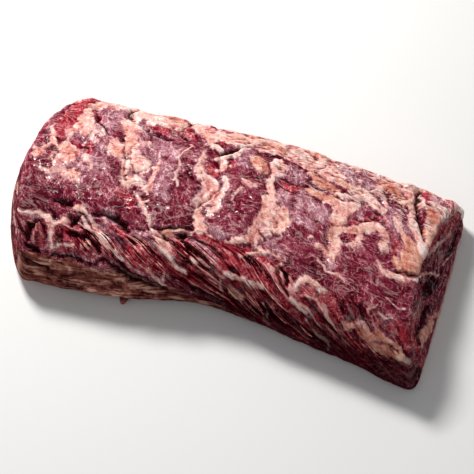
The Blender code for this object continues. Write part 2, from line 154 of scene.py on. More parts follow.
CREAM_FAT = (
    ((-180, -6, 2.5), (-176, 12, 3), (-172, 30, 3.5), (-170, 45, 5), (-170, 60, 3), (-170, 75, 2),
     (-171, 95, 2)),
    ((-191, 62, 1.5), (-186, 75, 2.5), (-181, 86, 3), (-175, 92, 2.5)),
    ((-181, 86, 2), (-188, 97, 3), (-192, 105, 4)),
    ((-168, 84, 4), (-163, 92, 8), (-160, 102, 9), (-167, 111, 7), (-164, 120, 6), (-158, 124, 4),
     (-150, 127, 3)),
    ((-195, 98, 3), (-186, 104, 4.5), (-178, 104, 3.5)),
    ((-184, 121, 2), (-175, 122, 4), (-166, 122, 4)),
    ((-150, 116, 2), (-147, 127, 3), (-141, 134, 1.5)),
    ((-140, 22, 2), (-133, 32, 5), (-124, 38, 8), (-119, 50, 7), (-115, 62, 5), (-112, 75, 3),
     (-110, 85, 2)),
    ((-129, 66, 5), (-125, 76, 8), (-119, 86, 5)),
    ((-104, 2, 6), (-97, 8, 7), (-93, 2, 6)),
    ((-126, 3, 4), (-118, 12, 4)),
    ((-104, 114, 4), (-98, 122, 5), (-95, 126, 3)),
    ((-68, 4, 6), (-60, 10, 10), (-52, 18, 11), (-48, 30, 7), (-47, 38, 4)),
    ((-33, 0, 8), (-24, 10, 9), (-13, 6, 8), (-12, 20, 4)),
    ((-46, 66, 2), (-41, 70, 3)),
    ((-21, 126, 8), (-24, 134, 6), (-24, 144, 4), (-22, 154, 5), (-20, 162, 6), (-18, 168, 6)),
    ((-8, 138, 4), (-13, 147, 3)),
    ((5, 89, 2), (10, 92, 4), (15, 94, 3)),
    ((28, 60, 3), (30, 70, 3), (29, 78, 2)),
    ((34, 104, 5), (38, 114, 9), (43, 124, 13), (44, 134, 13), (39, 143, 10), (35, 153, 7), (34, 163, 5)),
    ((52, 112, 4), (56, 124, 6), (55, 134, 6), (54, 142, 4)),
    ((66, 36, 4), (80, 40, 5), (95, 42, 6), (108, 45, 6), (120, 50, 6), (129, 58, 5)),
    ((84, 57, 4), (98, 60, 4), (106, 60, 3)),
    ((85, 76, 4), (94, 73, 6), (101, 74, 6)),
    ((104, 58, 9), (108, 72, 7), (104, 90, 9), (104, 106, 8), (103, 116, 7), (107, 124, 7), (110, 132, 5),
     (108, 142, 5), (108, 151, 3)),
    ((115, 104, 4), (122, 100, 6), (130, 92, 7), (138, 86, 6), (146, 88, 5), (151, 97, 3)),
    ((127, 105, 4), (125, 116, 4), (121, 124, 3)),
    ((150, 104, 4), (152, 114, 5)),
    ((147, 60, 2), (154, 70, 3), (160, 80, 2.5)),
    ((144, 28, 4), (150, 32, 6), (156, 37, 5), (158, 44, 3)),
    ((186, 127, 2), (178, 132, 2.5), (170, 136, 4), (162, 138, 3), (155, 135, 2), (148, 128, 1.5)),
    ((-88, 131, 1.5), (-80, 142, 2.2), (-75, 149, 2.2), (-69, 158, 1.5)),
    ((-198, 180, 2.5), (-190, 175, 1.5), (-178, 173, 2), (-169, 175, 2.5), (-166, 188, 2.5),
     (-165, 200, 1.5)),
    ((-163, 183, 2), (-155, 180, 2.5), (-150, 176, 3)),
    ((-140, 159, 2), (-134, 160, 2.5), (-130, 164, 1.5)),
    ((10, 178, 2), (19, 174, 3.5), (28, 167, 4), (35, 161, 5)),
    ((36, 171, 2), (46, 174, 2.5), (57, 172, 2.5), (66, 174, 2.5), (62, 183, 2), (56, 190, 1.5)),
    ((82, 195, 2), (86, 188, 4), (93, 184, 5), (100, 187, 4), (107, 191, 2)),
    ((80, 207, 1.5), (90, 211, 1.5), (98, 214, 1)),
    ((162, 187, 1.5), (170, 188, 1), (176, 184, 1)),
    ((92, 140, 2.5), (100, 140, 2.5), (104, 146, 2)),
    ((-60, 184, 1.5), (-52, 194, 2.5), (-44, 203, 2.5), (-34, 210, 1.5)),
)
WARM_FAT = (
    ((4, 4, 6), (12, 12, 8), (18, 20, 6)),
    ((2, 48, 6), (10, 56, 8), (18, 65, 6)),
    ((58, 45, 4), (66, 49, 5), (76, 53, 5), (90, 54, 3)),
    ((68, 70, 5), (86, 70, 5)),
    ((122, 2, 6), (129, 12, 8), (137, 22, 5)),
    ((121, 40, 3), (124, 41, 3)),
    ((178, 26, 5), (181, 44, 7), (185, 60, 6), (187, 74, 3)),
    ((196, 20, 2.5), (196, 45, 2.5), (196, 68, 2)),
    ((166, 84, 4), (172, 92, 8), (177, 104, 10), (183, 114, 7), (173, 114, 7), (166, 118, 5),
     (173, 124, 3)),
    ((-50, 187, 2), (-49, 177, 3), (-44, 172, 2), (-36, 170, 1.5)),
    ((130, 207, 3), (140, 204, 4), (150, 202, 3.5), (158, 207, 3), (168, 203, 4), (178, 203, 3),
     (187, 208, 3), (193, 214, 3)),
    ((145, 210, 3), (165, 213, 4), (185, 214, 4)),
    ((-160, 184, 2), (-154, 182, 2)),
    ((-134, 200, 1.5), (-128, 199, 1.5)),
    ((20, 220, 4), (30, 224, 3)),
    ((-152, 120, 3), (-146, 124, 3)),
    ((160, 43, 2), (166, 50, 2)),
    ((-112, -14, 4), (-96, -3, 4)),
    ((-32, -14, 4), (-20, -7, 4)),
    ((40, -12, 4), (54, -6, 4)),
    ((86, -16, 4), (100, -20, 5)),
    ((-70, -24, 5), (-44, -22, 6)),
    ((-8, -26, 5), (14, -22, 5)),
    ((150, -20, 5), (172, -24, 6)),
)
# Pale sinews: thin lines of fat and gristle that stand a little proud.
SINEWS = (
    ((-60, 185, 1), (-52, 194, 1.6), (-43, 203, 1.6), (-36, 210, 1)),
    ((-54, 184, 0.8), (-46, 193, 1.2), (-38, 201, 1)),
    ((-68, 160, 1.5), (-64, 174, 2), (-58, 182, 3), (-51, 191, 3), (-45, 200, 3), (-37, 207, 2.5),
     (-27, 213, 2)),
    ((-80, 142, 1.5), (-72, 138, 1.5)),
    ((-134, 170, 2), (-130, 180, 2), (-118, 190, 2), (-104, 199, 2), (-90, 205, 1.5)),
    ((-20, 200, 2), (-10, 202, 2), (0, 206, 2), (8, 211, 2.5), (18, 207, 2), (30, 205, 2.5),
     (42, 206, 2.5), (52, 204, 2)),
    ((84, 206, 1), (92, 208, 1.5), (98, 211, 1.2), (109, 217, 0.8)),
    ((90, 199, 0.8), (100, 199, 1.2), (110, 203, 0.8), (118, 209, 0.6)),
    ((98, 156, 0.8), (104, 160, 1.2), (108, 165, 1.2), (116, 164, 1.8), (121, 167, 1.6), (125, 170, 1.2)),
    ((166, 163, 0.8), (170, 168, 1), (177, 170, 0.8), (182, 167, 0.8)),
    ((152, 188, 1), (156, 182, 1.2), (158, 177, 0.8)),
    ((193, 148, 1.3), (191, 154, 1), (188, 162, 1)),
    ((86, 133, 1.5), (83, 138, 1)),
    ((-62, 52, 1.2), (-57, 58, 1.8), (-62, 66, 1.2), (-62, 77, 1), (-57, 90, 1), (-54, 103, 1.5),
     (-53, 110, 1),
     (-49, 118, 0.8)),
    ((-100, 58, 1.2), (-90, 68, 1.2)),
    ((-82, 70, 1.2), (-76, 90, 1.2), (-74, 110, 1.2), (-78, 128, 1)),
    ((-20, 168, 1.2), (-25, 175, 1.2), (-26, 180, 1)),
    ((-15, 168, 1.2), (-8, 174, 1.5), (-2, 178, 1)),
    ((25, 190, 1.5), (33, 184, 1.8), (42, 178, 2.2), (48, 172, 2.5)),
    ((6, 104, 1), (4, 112, 1), (1, 124, 0.6)),
    ((-164, 203, 0.8), (-154, 200, 1.2), (-142, 200, 0.8)),
    ((-140, 176, 0.5), (-126, 188, 1), (-110, 200, 0.6)),
    ((-64, 212, 1), (-52, 222, 1.2), (-44, 230, 1)),
    ((-90, 215, 1), (-72, 224, 1.2), (-60, 230, 1.2), (-52, 233, 1)),
    ((-48, 215, 1), (-47, 232, 1)),
    ((8, 214, 1), (10, 226, 1), (7, 240, 1)),
    ((35, 218, 1), (50, 232, 1.2), (57, 245, 1)),
    ((50, 220, 1), (56, 230, 1), (58, 242, 1)),
    ((92, 220, 1), (102, 227, 1.2), (114, 234, 1.4), (117, 246, 1)),
    ((112, 206, 0.8), (128, 218, 0.8)),
    ((100, 226, 1), (118, 240, 1)),
    ((-188, 186, 0.3), (-183, 190, 0.5), (-183, 200, 0.3)),
)
SILVERSKIN = (
    ((-150, 6, 9), (-147, 24, 9), (-146, 42, 7)),
    ((-124, 14, 5), (-108, 52, 5), (-106, 70, 4)),
    ((-165, 4, 5), (-160, 18, 6), (-154, 30, 5)),
    ((-156, 48, 7), (-150, 58, 9), (-148, 68, 8), (-152, 74, 5)),
    ((-141, 0, 4), (-140, 30, 4), (-137, 60, 3), (-136, 85, 4), (-140, 100, 3)),
    ((-92, 48, 7), (-84, 56, 10), (-74, 66, 9), (-66, 76, 6)),
    ((-98, 70, 6), (-90, 75, 6)),
    ((-78, 84, 8), (-72, 95, 10), (-68, 110, 11), (-64, 124, 8), (-58, 134, 5)),
    ((-60, 88, 5), (-54, 98, 4)),
    ((-46, 62, 4), (-44, 70, 3)),
    ((-10, 36, 6), (-6, 50, 8), (-4, 62, 7)),
    ((38, 44, 6), (46, 54, 9), (52, 62, 6)),
    ((42, 88, 4), (48, 97, 7), (52, 105, 6)),
    ((64, 80, 6), (72, 90, 10), (84, 98, 10), (92, 106, 6)),
    ((64, 100, 4), (66, 116, 4)),
    ((76, 118, 6), (82, 122, 4)),
    ((136, 48, 6), (146, 60, 10), (152, 74, 8), (156, 84, 4)),
    ((118, 72, 4), (119, 80, 3)),
    ((50, 160, 5), (58, 164, 5), (66, 168, 3)),
    ((-6, 166, 4), (2, 172, 5), (8, 170, 3)),
    ((100, 2, 7), (108, 16, 9), (112, 32, 7)),
    ((80, 0, 7), (90, 14, 9), (98, 30, 6)),
    ((148, 60, 4), (156, 68, 6), (162, 78, 5)),
    ((186, 82, 4), (190, 94, 4)),
    ((-168, 58, 3), (-162, 66, 6), (-158, 74, 4)),
    ((-112, 160, 4), (-104, 168, 5)),
    ((-152, 94, 4), (-144, 102, 8), (-137, 110, 8), (-133, 120, 4)),
    ((174, 2, 5), (184, 8, 6)),
    ((-122, 176, 3), (-115, 185, 3)),
    ((-80, 181, 3), (-70, 184, 5), (-62, 190, 4)),
    ((-64, 178, 3), (-54, 188, 5), (-42, 200, 5), (-34, 208, 3)),
    ((-24, 186, 2), (-12, 193, 3.5), (0, 199, 2)),
    ((4, 206, 2), (14, 213, 3.5), (26, 218, 3)),
    ((-116, 178, 3), (-106, 186, 5), (-94, 196, 4)),
    ((-66, 163, 3), (-62, 168, 2)),
    ((-140, 130, 4), (-134, 136, 3)),
    ((-128, 96, 4), (-120, 118, 3)),
)
FRESH_CUTS = (
    ((-187, -5, 9), (-185, 20, 9), (-182, 45, 10), (-181, 62, 9), (-178, 74, 5)),
    ((-169, 12, 2), (-166, 22, 3.5), (-160, 34, 3.5), (-155, 42, 3)),
    ((-162, 76, 2), (-158, 82, 3), (-154, 83, 2)),
    ((-147, 78, 3), (-143, 92, 3)),
    ((-80, 5, 4), (-75, 18, 5), (-73, 30, 4)),
    ((-70, 28, 4), (-62, 38, 4)),
    ((-38, 32, 4), (-36, 40, 2)),
    ((-38, 58, 3), (-38, 65, 3)),
    ((-16, 62, 2.5), (-13, 72, 3.5), (-12, 80, 2)),
    ((-31, 76, 3), (-29, 85, 5), (-25, 95, 4), (-20, 100, 2)),
    ((24, 78, 3), (23, 88, 3)),
    ((111, 80, 3), (114, 88, 5), (117, 97, 3)),
    ((120, 86, 4), (128, 83, 4)),
    ((135, 72, 3), (141, 72, 3), (147, 77, 3)),
    ((115, 103, 2), (121, 116, 2)),
    ((150, 88, 3), (157, 97, 4), (163, 108, 4)),
    ((-99, 128, 4), (-97, 136, 5), (-90, 144, 5), (-88, 150, 3)),
    ((-102, 26, 5), (-94, 33, 6)),
    ((-22, 176, 4), (-14, 177, 5), (0, 184, 7), (18, 186, 7), (35, 182, 4)),
    ((44, 182, 5), (58, 180, 5)),
    ((-74, 184, 3), (-62, 190, 4)),
    ((88, 195, 2.5), (98, 195, 3.5), (106, 198, 2)),
    ((66, 210, 3), (74, 213, 4), (80, 213, 2)),
    ((-110, 196, 4), (-98, 202, 4), (-84, 208, 3)),
    ((-172, 180, 3), (-170, 186, 2)),
    ((-165, 205, 2), (-150, 203, 2.5), (-140, 201, 2)),
    ((-40, 214, 3), (-28, 216, 3)),
    ((188, 80, 3), (195, 70, 3)),
    ((70, 32, 3), (90, 36, 4)),
    ((38, 94, 2.5), (39, 96, 2.5)),
    ((165, 52, 1.2), (175, 66, 1.2), (184, 82, 1)),
    ((188, 194, 4), (194, 198, 3)),
    ((197, 116, 2.5), (199, 138, 4), (198, 160, 4)),
    ((162, -8, 5), (168, 4, 5), (172, 20, 4)),
    ((-60, -6, 2), (-44, -1, 3), (-30, -5, 3)),
    ((-22, -9, 3), (-8, -5, 2.5)),
    ((184, -6, 4), (192, 2, 4), (199, 10, 3)),
    ((175, -4, 3), (185, 6, 3.5)),
    ((-114, -4, 2), (-102, -9, 3)),
    ((-98, -12, 2), (-86, -7, 2.5)),
    ((-76, -13, 2), (-64, -6, 2)),
    ((-46, -15, 2), (-34, -11, 2.5)),
    ((-4, -9, 2), (8, -14, 2)),
    ((16, -6, 2), (28, -11, 2)),
    ((60, -5, 2), (76, -10, 2)),
    ((98, -6, 2), (114, -12, 2)),
    ((-150, -20, 2), (-128, -26, 3)),
    ((-80, -34, 2), (-52, -30, 2.5)),
    ((20, -30, 2), (48, -36, 2.5)),
    ((110, -28, 2), (140, -34, 2.5)),
    ((176, 180, 2), (186, 190, 3), (194, 204, 3)),
    ((40, 72, 2), (50, 75, 6), (60, 72, 3)),
    ((120, 108, 2), (122, 114, 2)),
    ((-62, 186, 5), (-50, 196, 9), (-36, 204, 6), (-20, 208, 4)),
    ((-24, 190, 4), (-12, 196, 6), (2, 194, 5), (14, 198, 4)),
    ((-92, 184, 3), (-80, 198, 7), (-68, 206, 6), (-56, 212, 3)),
    ((4, 206, 4), (14, 212, 5), (26, 214, 3)),
    ((24, 196, 4), (40, 200, 5), (56, 204, 4)),
    ((60, 214, 3), (76, 218, 4), (90, 224, 3)),
    ((100, 190, 3), (112, 196, 4), (124, 204, 3)),
    ((-112, 164, 3), (-104, 172, 4), (-98, 178, 3)),
    ((-186, 186, 1), (-182, 192, 1.5), (-184, 201, 1)),
    ((194, 2, 3), (198, 20, 3), (199, 44, 2)),
    ((-178, 180, 1), (-174, 192, 2), (-176, 204, 1.5)),
    ((-154, 178, 2), (-150, 190, 3), (-152, 200, 2)),
    ((-198, 214, 2), (-190, 218, 2.5), (-180, 216, 1.5)),
)
# Dark lean that lies bare in the middle of paler skin.
BARE_LEAN = (
    ((-134, 42, 3), (-130, 52, 5), (-133, 62, 3)),
    ((-125, 95, 2.5), (-116, 105, 3.5)),
    ((0, 138, 4), (4, 150, 7), (9, 159, 5)),
    ((118, 130, 3), (124, 140, 4)),
    ((140, 142, 4), (150, 152, 7), (159, 159, 4)),
    ((86, 51, 2.5), (96, 52, 3), (104, 53, 2.5)),
    ((84, 146, 3), (92, 150, 4)),
    ((-112, 110, 3), (-108, 117, 3)),
    ((-78, 30, 3), (-72, 37, 3), (-62, 42, 3)),
    ((-41, 58, 3), (-37, 66, 3)),
    ((-8, 72, 4), (-12, 78, 2)),
    ((3, 37, 4), (11, 44, 4)),
    ((15, 72, 4), (20, 82, 6), (22, 89, 3)),
    ((6, 70, 3), (8, 76, 2)),
    ((133, 110, 6), (142, 118, 8), (138, 127, 6)),
    ((154, 118, 5), (156, 125, 6)),
    ((168, 32, 4), (172, 42, 5), (175, 52, 3)),
    ((130, 28, 4), (136, 38, 4)),
    ((-185, 112, 5), (-180, 94, 4)),
    ((-199, 132, 4), (-197, 150, 6), (-198, 166, 5)),
    ((-188, 150, 5), (-174, 152, 6), (-160, 148, 5)),
    ((-136, 206, 3), (-124, 210, 3), (-112, 207, 3)),
    ((-158, 186, 2), (-154, 194, 2)),
    ((58, 178, 3), (64, 186, 5), (70, 194, 5), (74, 202, 3)),
    ((-199, 186, 3), (-195, 198, 7), (-199, 212, 4)),
)
# Crevices: cuts, tears and folds that fall into shade. Each is its depth and its path.
CREVICES = (
    (4.5, ((-144, -10, 3), (-139, 12, 3.5), (-131, 21, 2.5))),
    (2.5, ((-127, 8, 1), (-122, 17, 1.5), (-120, 22, 1.5))),
    (3.5, ((-126, 26, 1.5), (-120, 28, 2.5), (-113, 30, 2))),
    (5.0, ((-107, 18, 2), (-103, 19, 4), (-97, 21, 2))),
    (4.5, ((-110, 38, 1), (-102, 42, 2), (-92, 43, 3), (-82, 44, 2))),
    (3.5, ((-170, 10, 1), (-163, 30, 1.5), (-157, 42, 1.5), (-148, 46, 1.5), (-137, 58, 1))),
    (3.5, ((-86, -8, 2), (-84, 8, 2.5), (-83, 18, 2))),
    (3.0, ((-79, 28, 2), (-75, 34, 3), (-68, 40, 2))),
    (2.0, ((-70, 20, 1), (-62, 32, 1.5), (-55, 40, 1.5), (-52, 48, 2))),
    (6.0, ((-9, 18, 1), (-12, 26, 1.6), (-17, 31, 3), (-22, 42, 3.5), (-27, 54, 3), (-29, 58, 1.5))),
    (3.0, ((-29, 57, 1.5), (-36, 54, 1))),
    (2.5, ((-17, 9, 2), (-18, 14, 1.5))),
    (2.5, ((-44, 36, 1.5), (-41, 31, 2.5), (-38, 37, 1.5), (-32, 43, 1))),
    (2.5, ((-104, 90, 0.7), (-99, 98, 1), (-93, 104, 1), (-86, 101, 0.9), (-83, 93, 1))),
    (3.0, ((-110, 82, 1), (-108, 94, 2), (-106, 108, 2), (-101, 117, 2))),
    (2.5, ((-12, 104, 0.5), (-13, 114, 0.9), (-17, 127, 1.1), (-23, 138, 1.1), (-28, 144, 0.7))),
    (3.0, ((-50, 90, 1), (-44, 98, 2.2), (-36, 104, 2), (-31, 110, 1.5))),
    (2.0, ((-30, 112, 1.2), (-29, 122, 1.5), (-31, 132, 1))),
    (2.0, ((-62, 80, 1), (-58, 90, 1), (-54, 100, 0.7))),
    (2.5, ((2, 78, 2), (6, 84, 2), (10, 72, 2.5))),
    (3.0, ((20, 66, 2), (17, 78, 3), (22, 72, 3), (25, 64, 2))),
    (2.5, ((38, 68, 1.5), (48, 68, 2.5), (56, 68, 2.5), (62, 67, 1.5))),
    (2.5, ((42, 79, 1), (52, 83, 1.5), (60, 80, 1))),
    (2.0, ((29, 38, 1), (36, 39, 1.5), (42, 37, 1))),
    (3.0, ((60, 57, 1), (66, 60, 1.5), (74, 60, 1.6), (82, 56, 1))),
    (2.5, ((80, 62, 1), (86, 58, 1.5), (89, 64, 1), (96, 67, 1.5), (105, 66, 1.5), (110, 61, 1.5))),
    (2.2, ((111, 72, 1), (114, 84, 1.6), (116, 94, 1.4), (111, 99, 0.8))),
    (3.5, ((120, 84, 2), (124, 85, 3), (128, 82, 1.5))),
    (2.5, ((100, 105, 0.7), (108, 101, 1), (113, 97, 1))),
    (2.5, ((134, 62, 1), (137, 70, 2), (132, 78, 1))),
    (2.0, ((142, 73, 1), (147, 77, 1.5))),
    (2.5, ((104, 22, 0.8), (110, 31, 1.2), (115, 37, 1.2), (118, 27, 1))),
    (2.5, ((120, 40, 1.5), (126, 42, 2), (130, 48, 1))),
    (2.5, ((128, 26, 1.5), (135, 34, 2), (138, 44, 1.5), (142, 40, 1))),
    (5.5, ((155, -10, 3), (159, 8, 3), (162, 24, 4), (165, 40, 3), (169, 52, 2.5), (178, 62, 2),
           (183, 75, 1))),
    (3.0, ((193, 10, 1.5), (191, 40, 1.5), (191, 66, 1.5))),
    (2.5, ((150, 88, 1.5), (158, 98, 2.5), (164, 109, 2))),
    (4.0, ((168, 130, 1), (174, 125, 2), (182, 121, 2), (190, 118, 1))),
    (3.5, ((190, 104, 1.5), (194, 114, 3), (192, 128, 3))),
    (2.0, ((74, 113, 1), (82, 111, 1.5), (90, 110, 1))),
    (3.0, ((47, 144, 1), (51, 148, 1.8), (56, 147, 1))),
    (3.0, ((37, 151, 0.8), (41, 155, 1.5), (44, 159, 1.2))),
    (2.5, ((48, 126, 0.7), (50, 133, 1.2), (48, 138, 1))),
    (1.5, ((-182, 92, 3), (-177, 97, 3))),
    (3.0, ((-195, 73, 3), (-184, 75, 1.5))),
    (3.0, ((-180, 79, 1), (-172, 79, 1))),
    (1.8, ((-150, 129, 1), (-160, 128, 2), (-170, 127, 1.5))),
    (2.0, ((-192, 142, 2), (-180, 144, 2), (-168, 143, 2), (-158, 145, 1))),
    (6.0, ((-163, 156, 3), (-155, 156, 6), (-146, 155, 5), (-142, 158, 2))),
    (4.0, ((-163, 172, 5), (-158, 176, 3))),
    (5.0, ((-146, 181, 3), (-143, 174, 5), (-139, 170, 2))),
    (6.0, ((-122, 165, 1.5), (-110, 164, 3), (-98, 166, 5), (-90, 173, 5), (-85, 180, 3))),
    (4.5, ((-86, 190, 2), (-80, 192, 5), (-75, 192, 3))),
    (2.5, ((-82, 176, 0.8), (-72, 177, 1), (-66, 176, 0.8))),
    (3.5, ((-64, 173, 1), (-54, 174, 2), (-46, 170, 2), (-36, 169, 1.5), (-27, 169, 1))),
    (5.0, ((-38, 178, 3), (-34, 182, 5), (-32, 187, 3))),
    (3.5, ((-24, 203, 5), (-28, 206, 3))),
    (3.5, ((-50, 184, 1.5), (-48, 189, 1.5))),
    (3.0, ((-26, 184, 2), (-18, 186, 2.5), (-10, 190, 1.5))),
    (3.0, ((2, 197, 1.2), (8, 196, 2), (14, 197, 1.2))),
    (2.5, ((16, 201, 1), (20, 203, 1.5))),
    (4.5, ((64, 184, 1.5), (69, 190, 3), (72, 197, 2.5))),
    (3.8, ((58, 189, 1.5), (66, 198, 3), (75, 205, 2))),
    (4.5, ((-200, 196, 3), (-192, 198, 5), (-184, 190, 3), (-180, 183, 2), (-176, 190, 3), (-172, 198, 2))),
    (4.5, ((-196, 206, 3), (-186, 208, 4), (-178, 210, 3))),
    (4.0, ((-150, 192, 1), (-136, 193, 2), (-122, 197, 2), (-114, 204, 2))),
    (5.5, ((-168, 214, 2), (-160, 209, 3), (-140, 211, 3), (-120, 213, 2.5), (-110, 209, 3), (-98, 214, 5),
           (-80, 222, 8), (-64, 230, 6), (-44, 238, 3))),
    (3.5, ((-196, 222, 2), (-186, 224, 2), (-170, 224, 2))),
    (4.4, ((-100, 205, 2), (-86, 213, 4), (-68, 223, 5), (-48, 234, 4))),
    (3.4, ((-30, 222, 2), (-12, 232, 4), (10, 240, 3))),
)
# Marks of the two cut ends: y, z, half width.
RIGHT_FACE_FAT = (
    ((-62, 34, 3), (-54, 36, 7), (-44, 32, 8), (-34, 26, 6), (-26, 21, 3)),
    ((-30, 30, 2), (-20, 20, 2.2), (-10, 9, 2), (-2, 0, 2)),
    ((80, 50, 2), (92, 42, 3), (103, 28, 3)),
)
RIGHT_FACE_SINEWS = (
    ((-16, 70, 1.2), (-6, 66, 1.4), (3, 55, 1.2), (8, 46, 1.2), (16, 38, 1)),
    ((15, 66, 1.5), (30, 58, 2), (45, 50, 1.8), (62, 42, 1.2)),
    ((-62, 70, 1), (-40, 64, 1.2), (-24, 56, 0.8)),
    ((30, 34, 0.8), (48, 26, 1), (70, 24, 0.8)),
)
RIGHT_FACE_RED = (
    ((30, 72, 5), (60, 64, 6), (90, 52, 6), (104, 40, 5)),
    ((24, 66, 4), (54, 58, 6), (84, 46, 6)),
    ((-30, 70, 3), (-10, 72, 4), (16, 72, 3)),
    ((62, 44, 4), (80, 38, 6), (94, 32, 4)),
    ((-76, 20, 3), (-70, 40, 4), (-66, 60, 3)),
    ((-62, 66, 4), (-40, 58, 4)),
)
# Dark pits of the +X end: bare dark lean, with painted shade in them.
RIGHT_FACE_DARK = (
    ((-58, 50, 3), (-38, 46, 4), (-20, 38, 3)),
    ((-14, 52, 5), (0, 44, 7), (8, 36, 4)),
    ((44, 32, 4), (60, 28, 6), (74, 22, 4)),
    ((-90, 40, 6), (-82, 20, 6)),
)
LEFT_FACE_FAT = (
    ((-84, 50, 1.5), (-60, 46, 2), (-34, 40, 2), (-10, 42, 1.5)),
    ((20, 60, 2), (34, 44, 3), (58, 34, 3), (84, 30, 3)),
    ((60, 46, 2.5), (84, 40, 4), (98, 32, 4)),
    ((-50, 68, 2.5), (-38, 58, 3), (-30, 44, 2)),
)
LEFT_FACE_SINEWS = (
    ((-10, 42, 1), (6, 34, 1), (24, 30, 0.8)),
    ((34, 62, 1), (44, 50, 0.8)),
    ((-84, 30, 0.8), (-60, 26, 1), (-30, 28, 0.8)),
)
# Lobes of lean that swell between the rib prints: along, down, half width, half length, rise.
LOBES = (
    (-128.0, 130.0, 26.0, 38.0, 4.0),
    (-50.0, 112.0, 21.0, 58.0, 4.5),
    (11.0, 130.0, 19.0, 42.0, 4.0),
    (80.0, 130.0, 18.0, 42.0, 4.0),
    (150.0, 160.0, 46.0, 30.0, 4.0),
    (140.0, 116.0, 12.0, 13.0, 2.5),
    (50.0, 54.0, 14.0, 14.0, 1.2),
)
LOBE_EDGE = 0.35
LOBE_POWER = 3.0

# ---------------------------------------------------------------- relief
# Marks wander off their paths: how far, and on lumps of what size.
WANDER = ((3.2, 18.0), (1.8, 6.0))
FAR_OUTSIDE = -30.0
FAT_RISE = 0.8
FAT_BANK = 3.0
# Rise and size of the crumbs of fat.
FAT_CRUMB = (0.6, 6.5)
SINEW_RISE = 1.0
SINEW_BANK = 2.0
# Crevices: how far their banks reach out, how much of the depth is cut, and how wide the bed is. A
# crevice that is less deep than CREVICE_FULL is cut shallower still.
CREVICE_REACH = 2.4
CREVICE_SHARE = 0.85
CREVICE_BED = 0.85
CREVICE_NARROWEST = 1.0
CREVICE_FULL = 4.5
# How far the painted shade of a crevice reaches past its bed, and the depth at which it is darkest.
CREVICE_DARK_REACH = 1.2
CREVICE_DARKEST = 5.0
# Slanting cords of the front side: where they start, how far down they go and how strong they are.
CORD_FROM = 176.0
CORD_FADE = 14.0
CORD_TO = (206.0, 208.0, 210.0, 222.0, 244.0, 252.0, 252.0, 252.0, 252.0)
CORD_STRENGTH = (0.3, 0.5, 0.85, 1.0, 0.95, 0.85, 0.6, 0.5, 0.45)
CORD_SLOPE = 0.55
# Their pitch, rise and slice of the noise.
COARSE_CORDS = (14.0, 1.5, 7.5)
FINE_CORDS = (5.6, 0.7, 12.5)
# They come and go in patches, where the noise is in this range, down to this share.
CORD_PATCH_SIZE = 24.0
CORD_PATCH_RANGE = (-0.35, 0.3)
CORD_PATCH_LEAST = 0.35
# They sway on long lumps. The ripple on them has a share of the sway, and a size along and down.
CORD_SWAY = 11.0
CORD_SWAY_SIZE = 64.0
CORD_RIPPLE = (0.1, 16.0, 12.0)
# Rolls of fat along the back edge and crumbs on them: size along and down, rise.
ROLLS = (17.0, 9.0, 2.4)
ROLL_CRUMBS = (8.0, 5.0, 1.0)
ROLL_FADE = (27.0, 45.0)
# Lumps of the whole surface: size, rise.
LUMPS = ((26.0, 1.6), (9.0, 0.8), (4.6, 0.3))
# Creased film: the patch it covers, its size along and down, folds to a lump, and rise. The ripple
# on the folds has a weight, and a size along and down.
CREASED_PATCH = (100.0, 20.0, 100.0, 44.0)
CREASES = (34.0, 15.0, 2.4, 0.7)
CREASE_RIPPLE = (0.5, 9.0, 6.0)
CREASE_SHARE = 0.1
# Muscle fibre: its turn, size with the grain and across it, rise.
FIBRE_TURN = math.radians(64)
FIBRE_RELIEF = (17.0, 2.8, 0.45)
# The cut ends: their lumps, their sinews, and the share of the relief that their rims take.
END_LUMPS = ((18.0, 1.0), (6.0, 0.5))
END_SINEW_RISE = 0.6
END_RELIEF = 0.6
# The relief dies away over this height above the floor.
SKIRT_SPAN = 14.0
# Hollows and crests are found against a copy smoothed in this many steps, and count in full from
# this height.
CAVITY_STEPS = 14
CAVITY_FULL = 0.8

# Each use of the noise reads a slice of its own.
LUMP_SLICE = 1.5
ROLL_SLICE = 9.5
CORD_PATCH_SLICE = 15.5
CAP_EDGE_SLICE = 21.5
STRIP_EDGE_SLICE = 23.5
WANDER_SLICES = (31.5, 41.5)
FIBRE_SLICE = 51.5
FAT_CRUMB_SLICE = 61.5
ROLL_CRUMB_SLICE = 71.5
END_LUMP_SLICE = 81.5
CREASE_SLICE = 91.5
CREASE_RIPPLE_SLICE = 93.5
SLICE_STEP = 3.0

# ---------------------------------------------------------------- chart and marks
# The UV map holds along and down in metres. The cut ends and the underside lie on sheets of their
# own, which are this many millimetres apart.
CHART = "chart"
SHEET_STEP = 1000.0
SKIN_SHEET = 0
LEFT_SHEET = 1
RIGHT_SHEET = 2
UNDER_SHEET = 3
SHEET_MARKS = {
    SKIN_SHEET: {"white": WHITE_FAT, "cream": CREAM_FAT, "warm": WARM_FAT, "sinew": SINEWS,
                 "silver": SILVERSKIN, "fresh": FRESH_CUTS, "bare": BARE_LEAN},
    LEFT_SHEET: {"cream": LEFT_FACE_FAT, "sinew": LEFT_FACE_SINEWS},
    RIGHT_SHEET: {"warm": RIGHT_FACE_FAT, "sinew": RIGHT_FACE_SINEWS, "fresh": RIGHT_FACE_RED,
                  "bare": RIGHT_FACE_DARK},
}
FAT_KINDS = ("white", "cream", "warm")
OTHER_KINDS = ("sinew", "silver", "fresh", "bare")
# Fat without a mark: all over the cap, and on the lean as far as this from the seam. Fresh cuts and
# silverskin push it back.
FAT_BASE = 5.0
SEAM_REACH = 5.0
FRESH_PUSH = 1.6
SILVER_PUSH = 0.8
SILVER_MARGIN = 1.0
# The warmth of fat is drawn from the marks near by, and from none where all are far.
PULL_RANGE = (-8, 3)
CREAM_WARMTH = 0.5
UNMARKED_PULL = 0.05
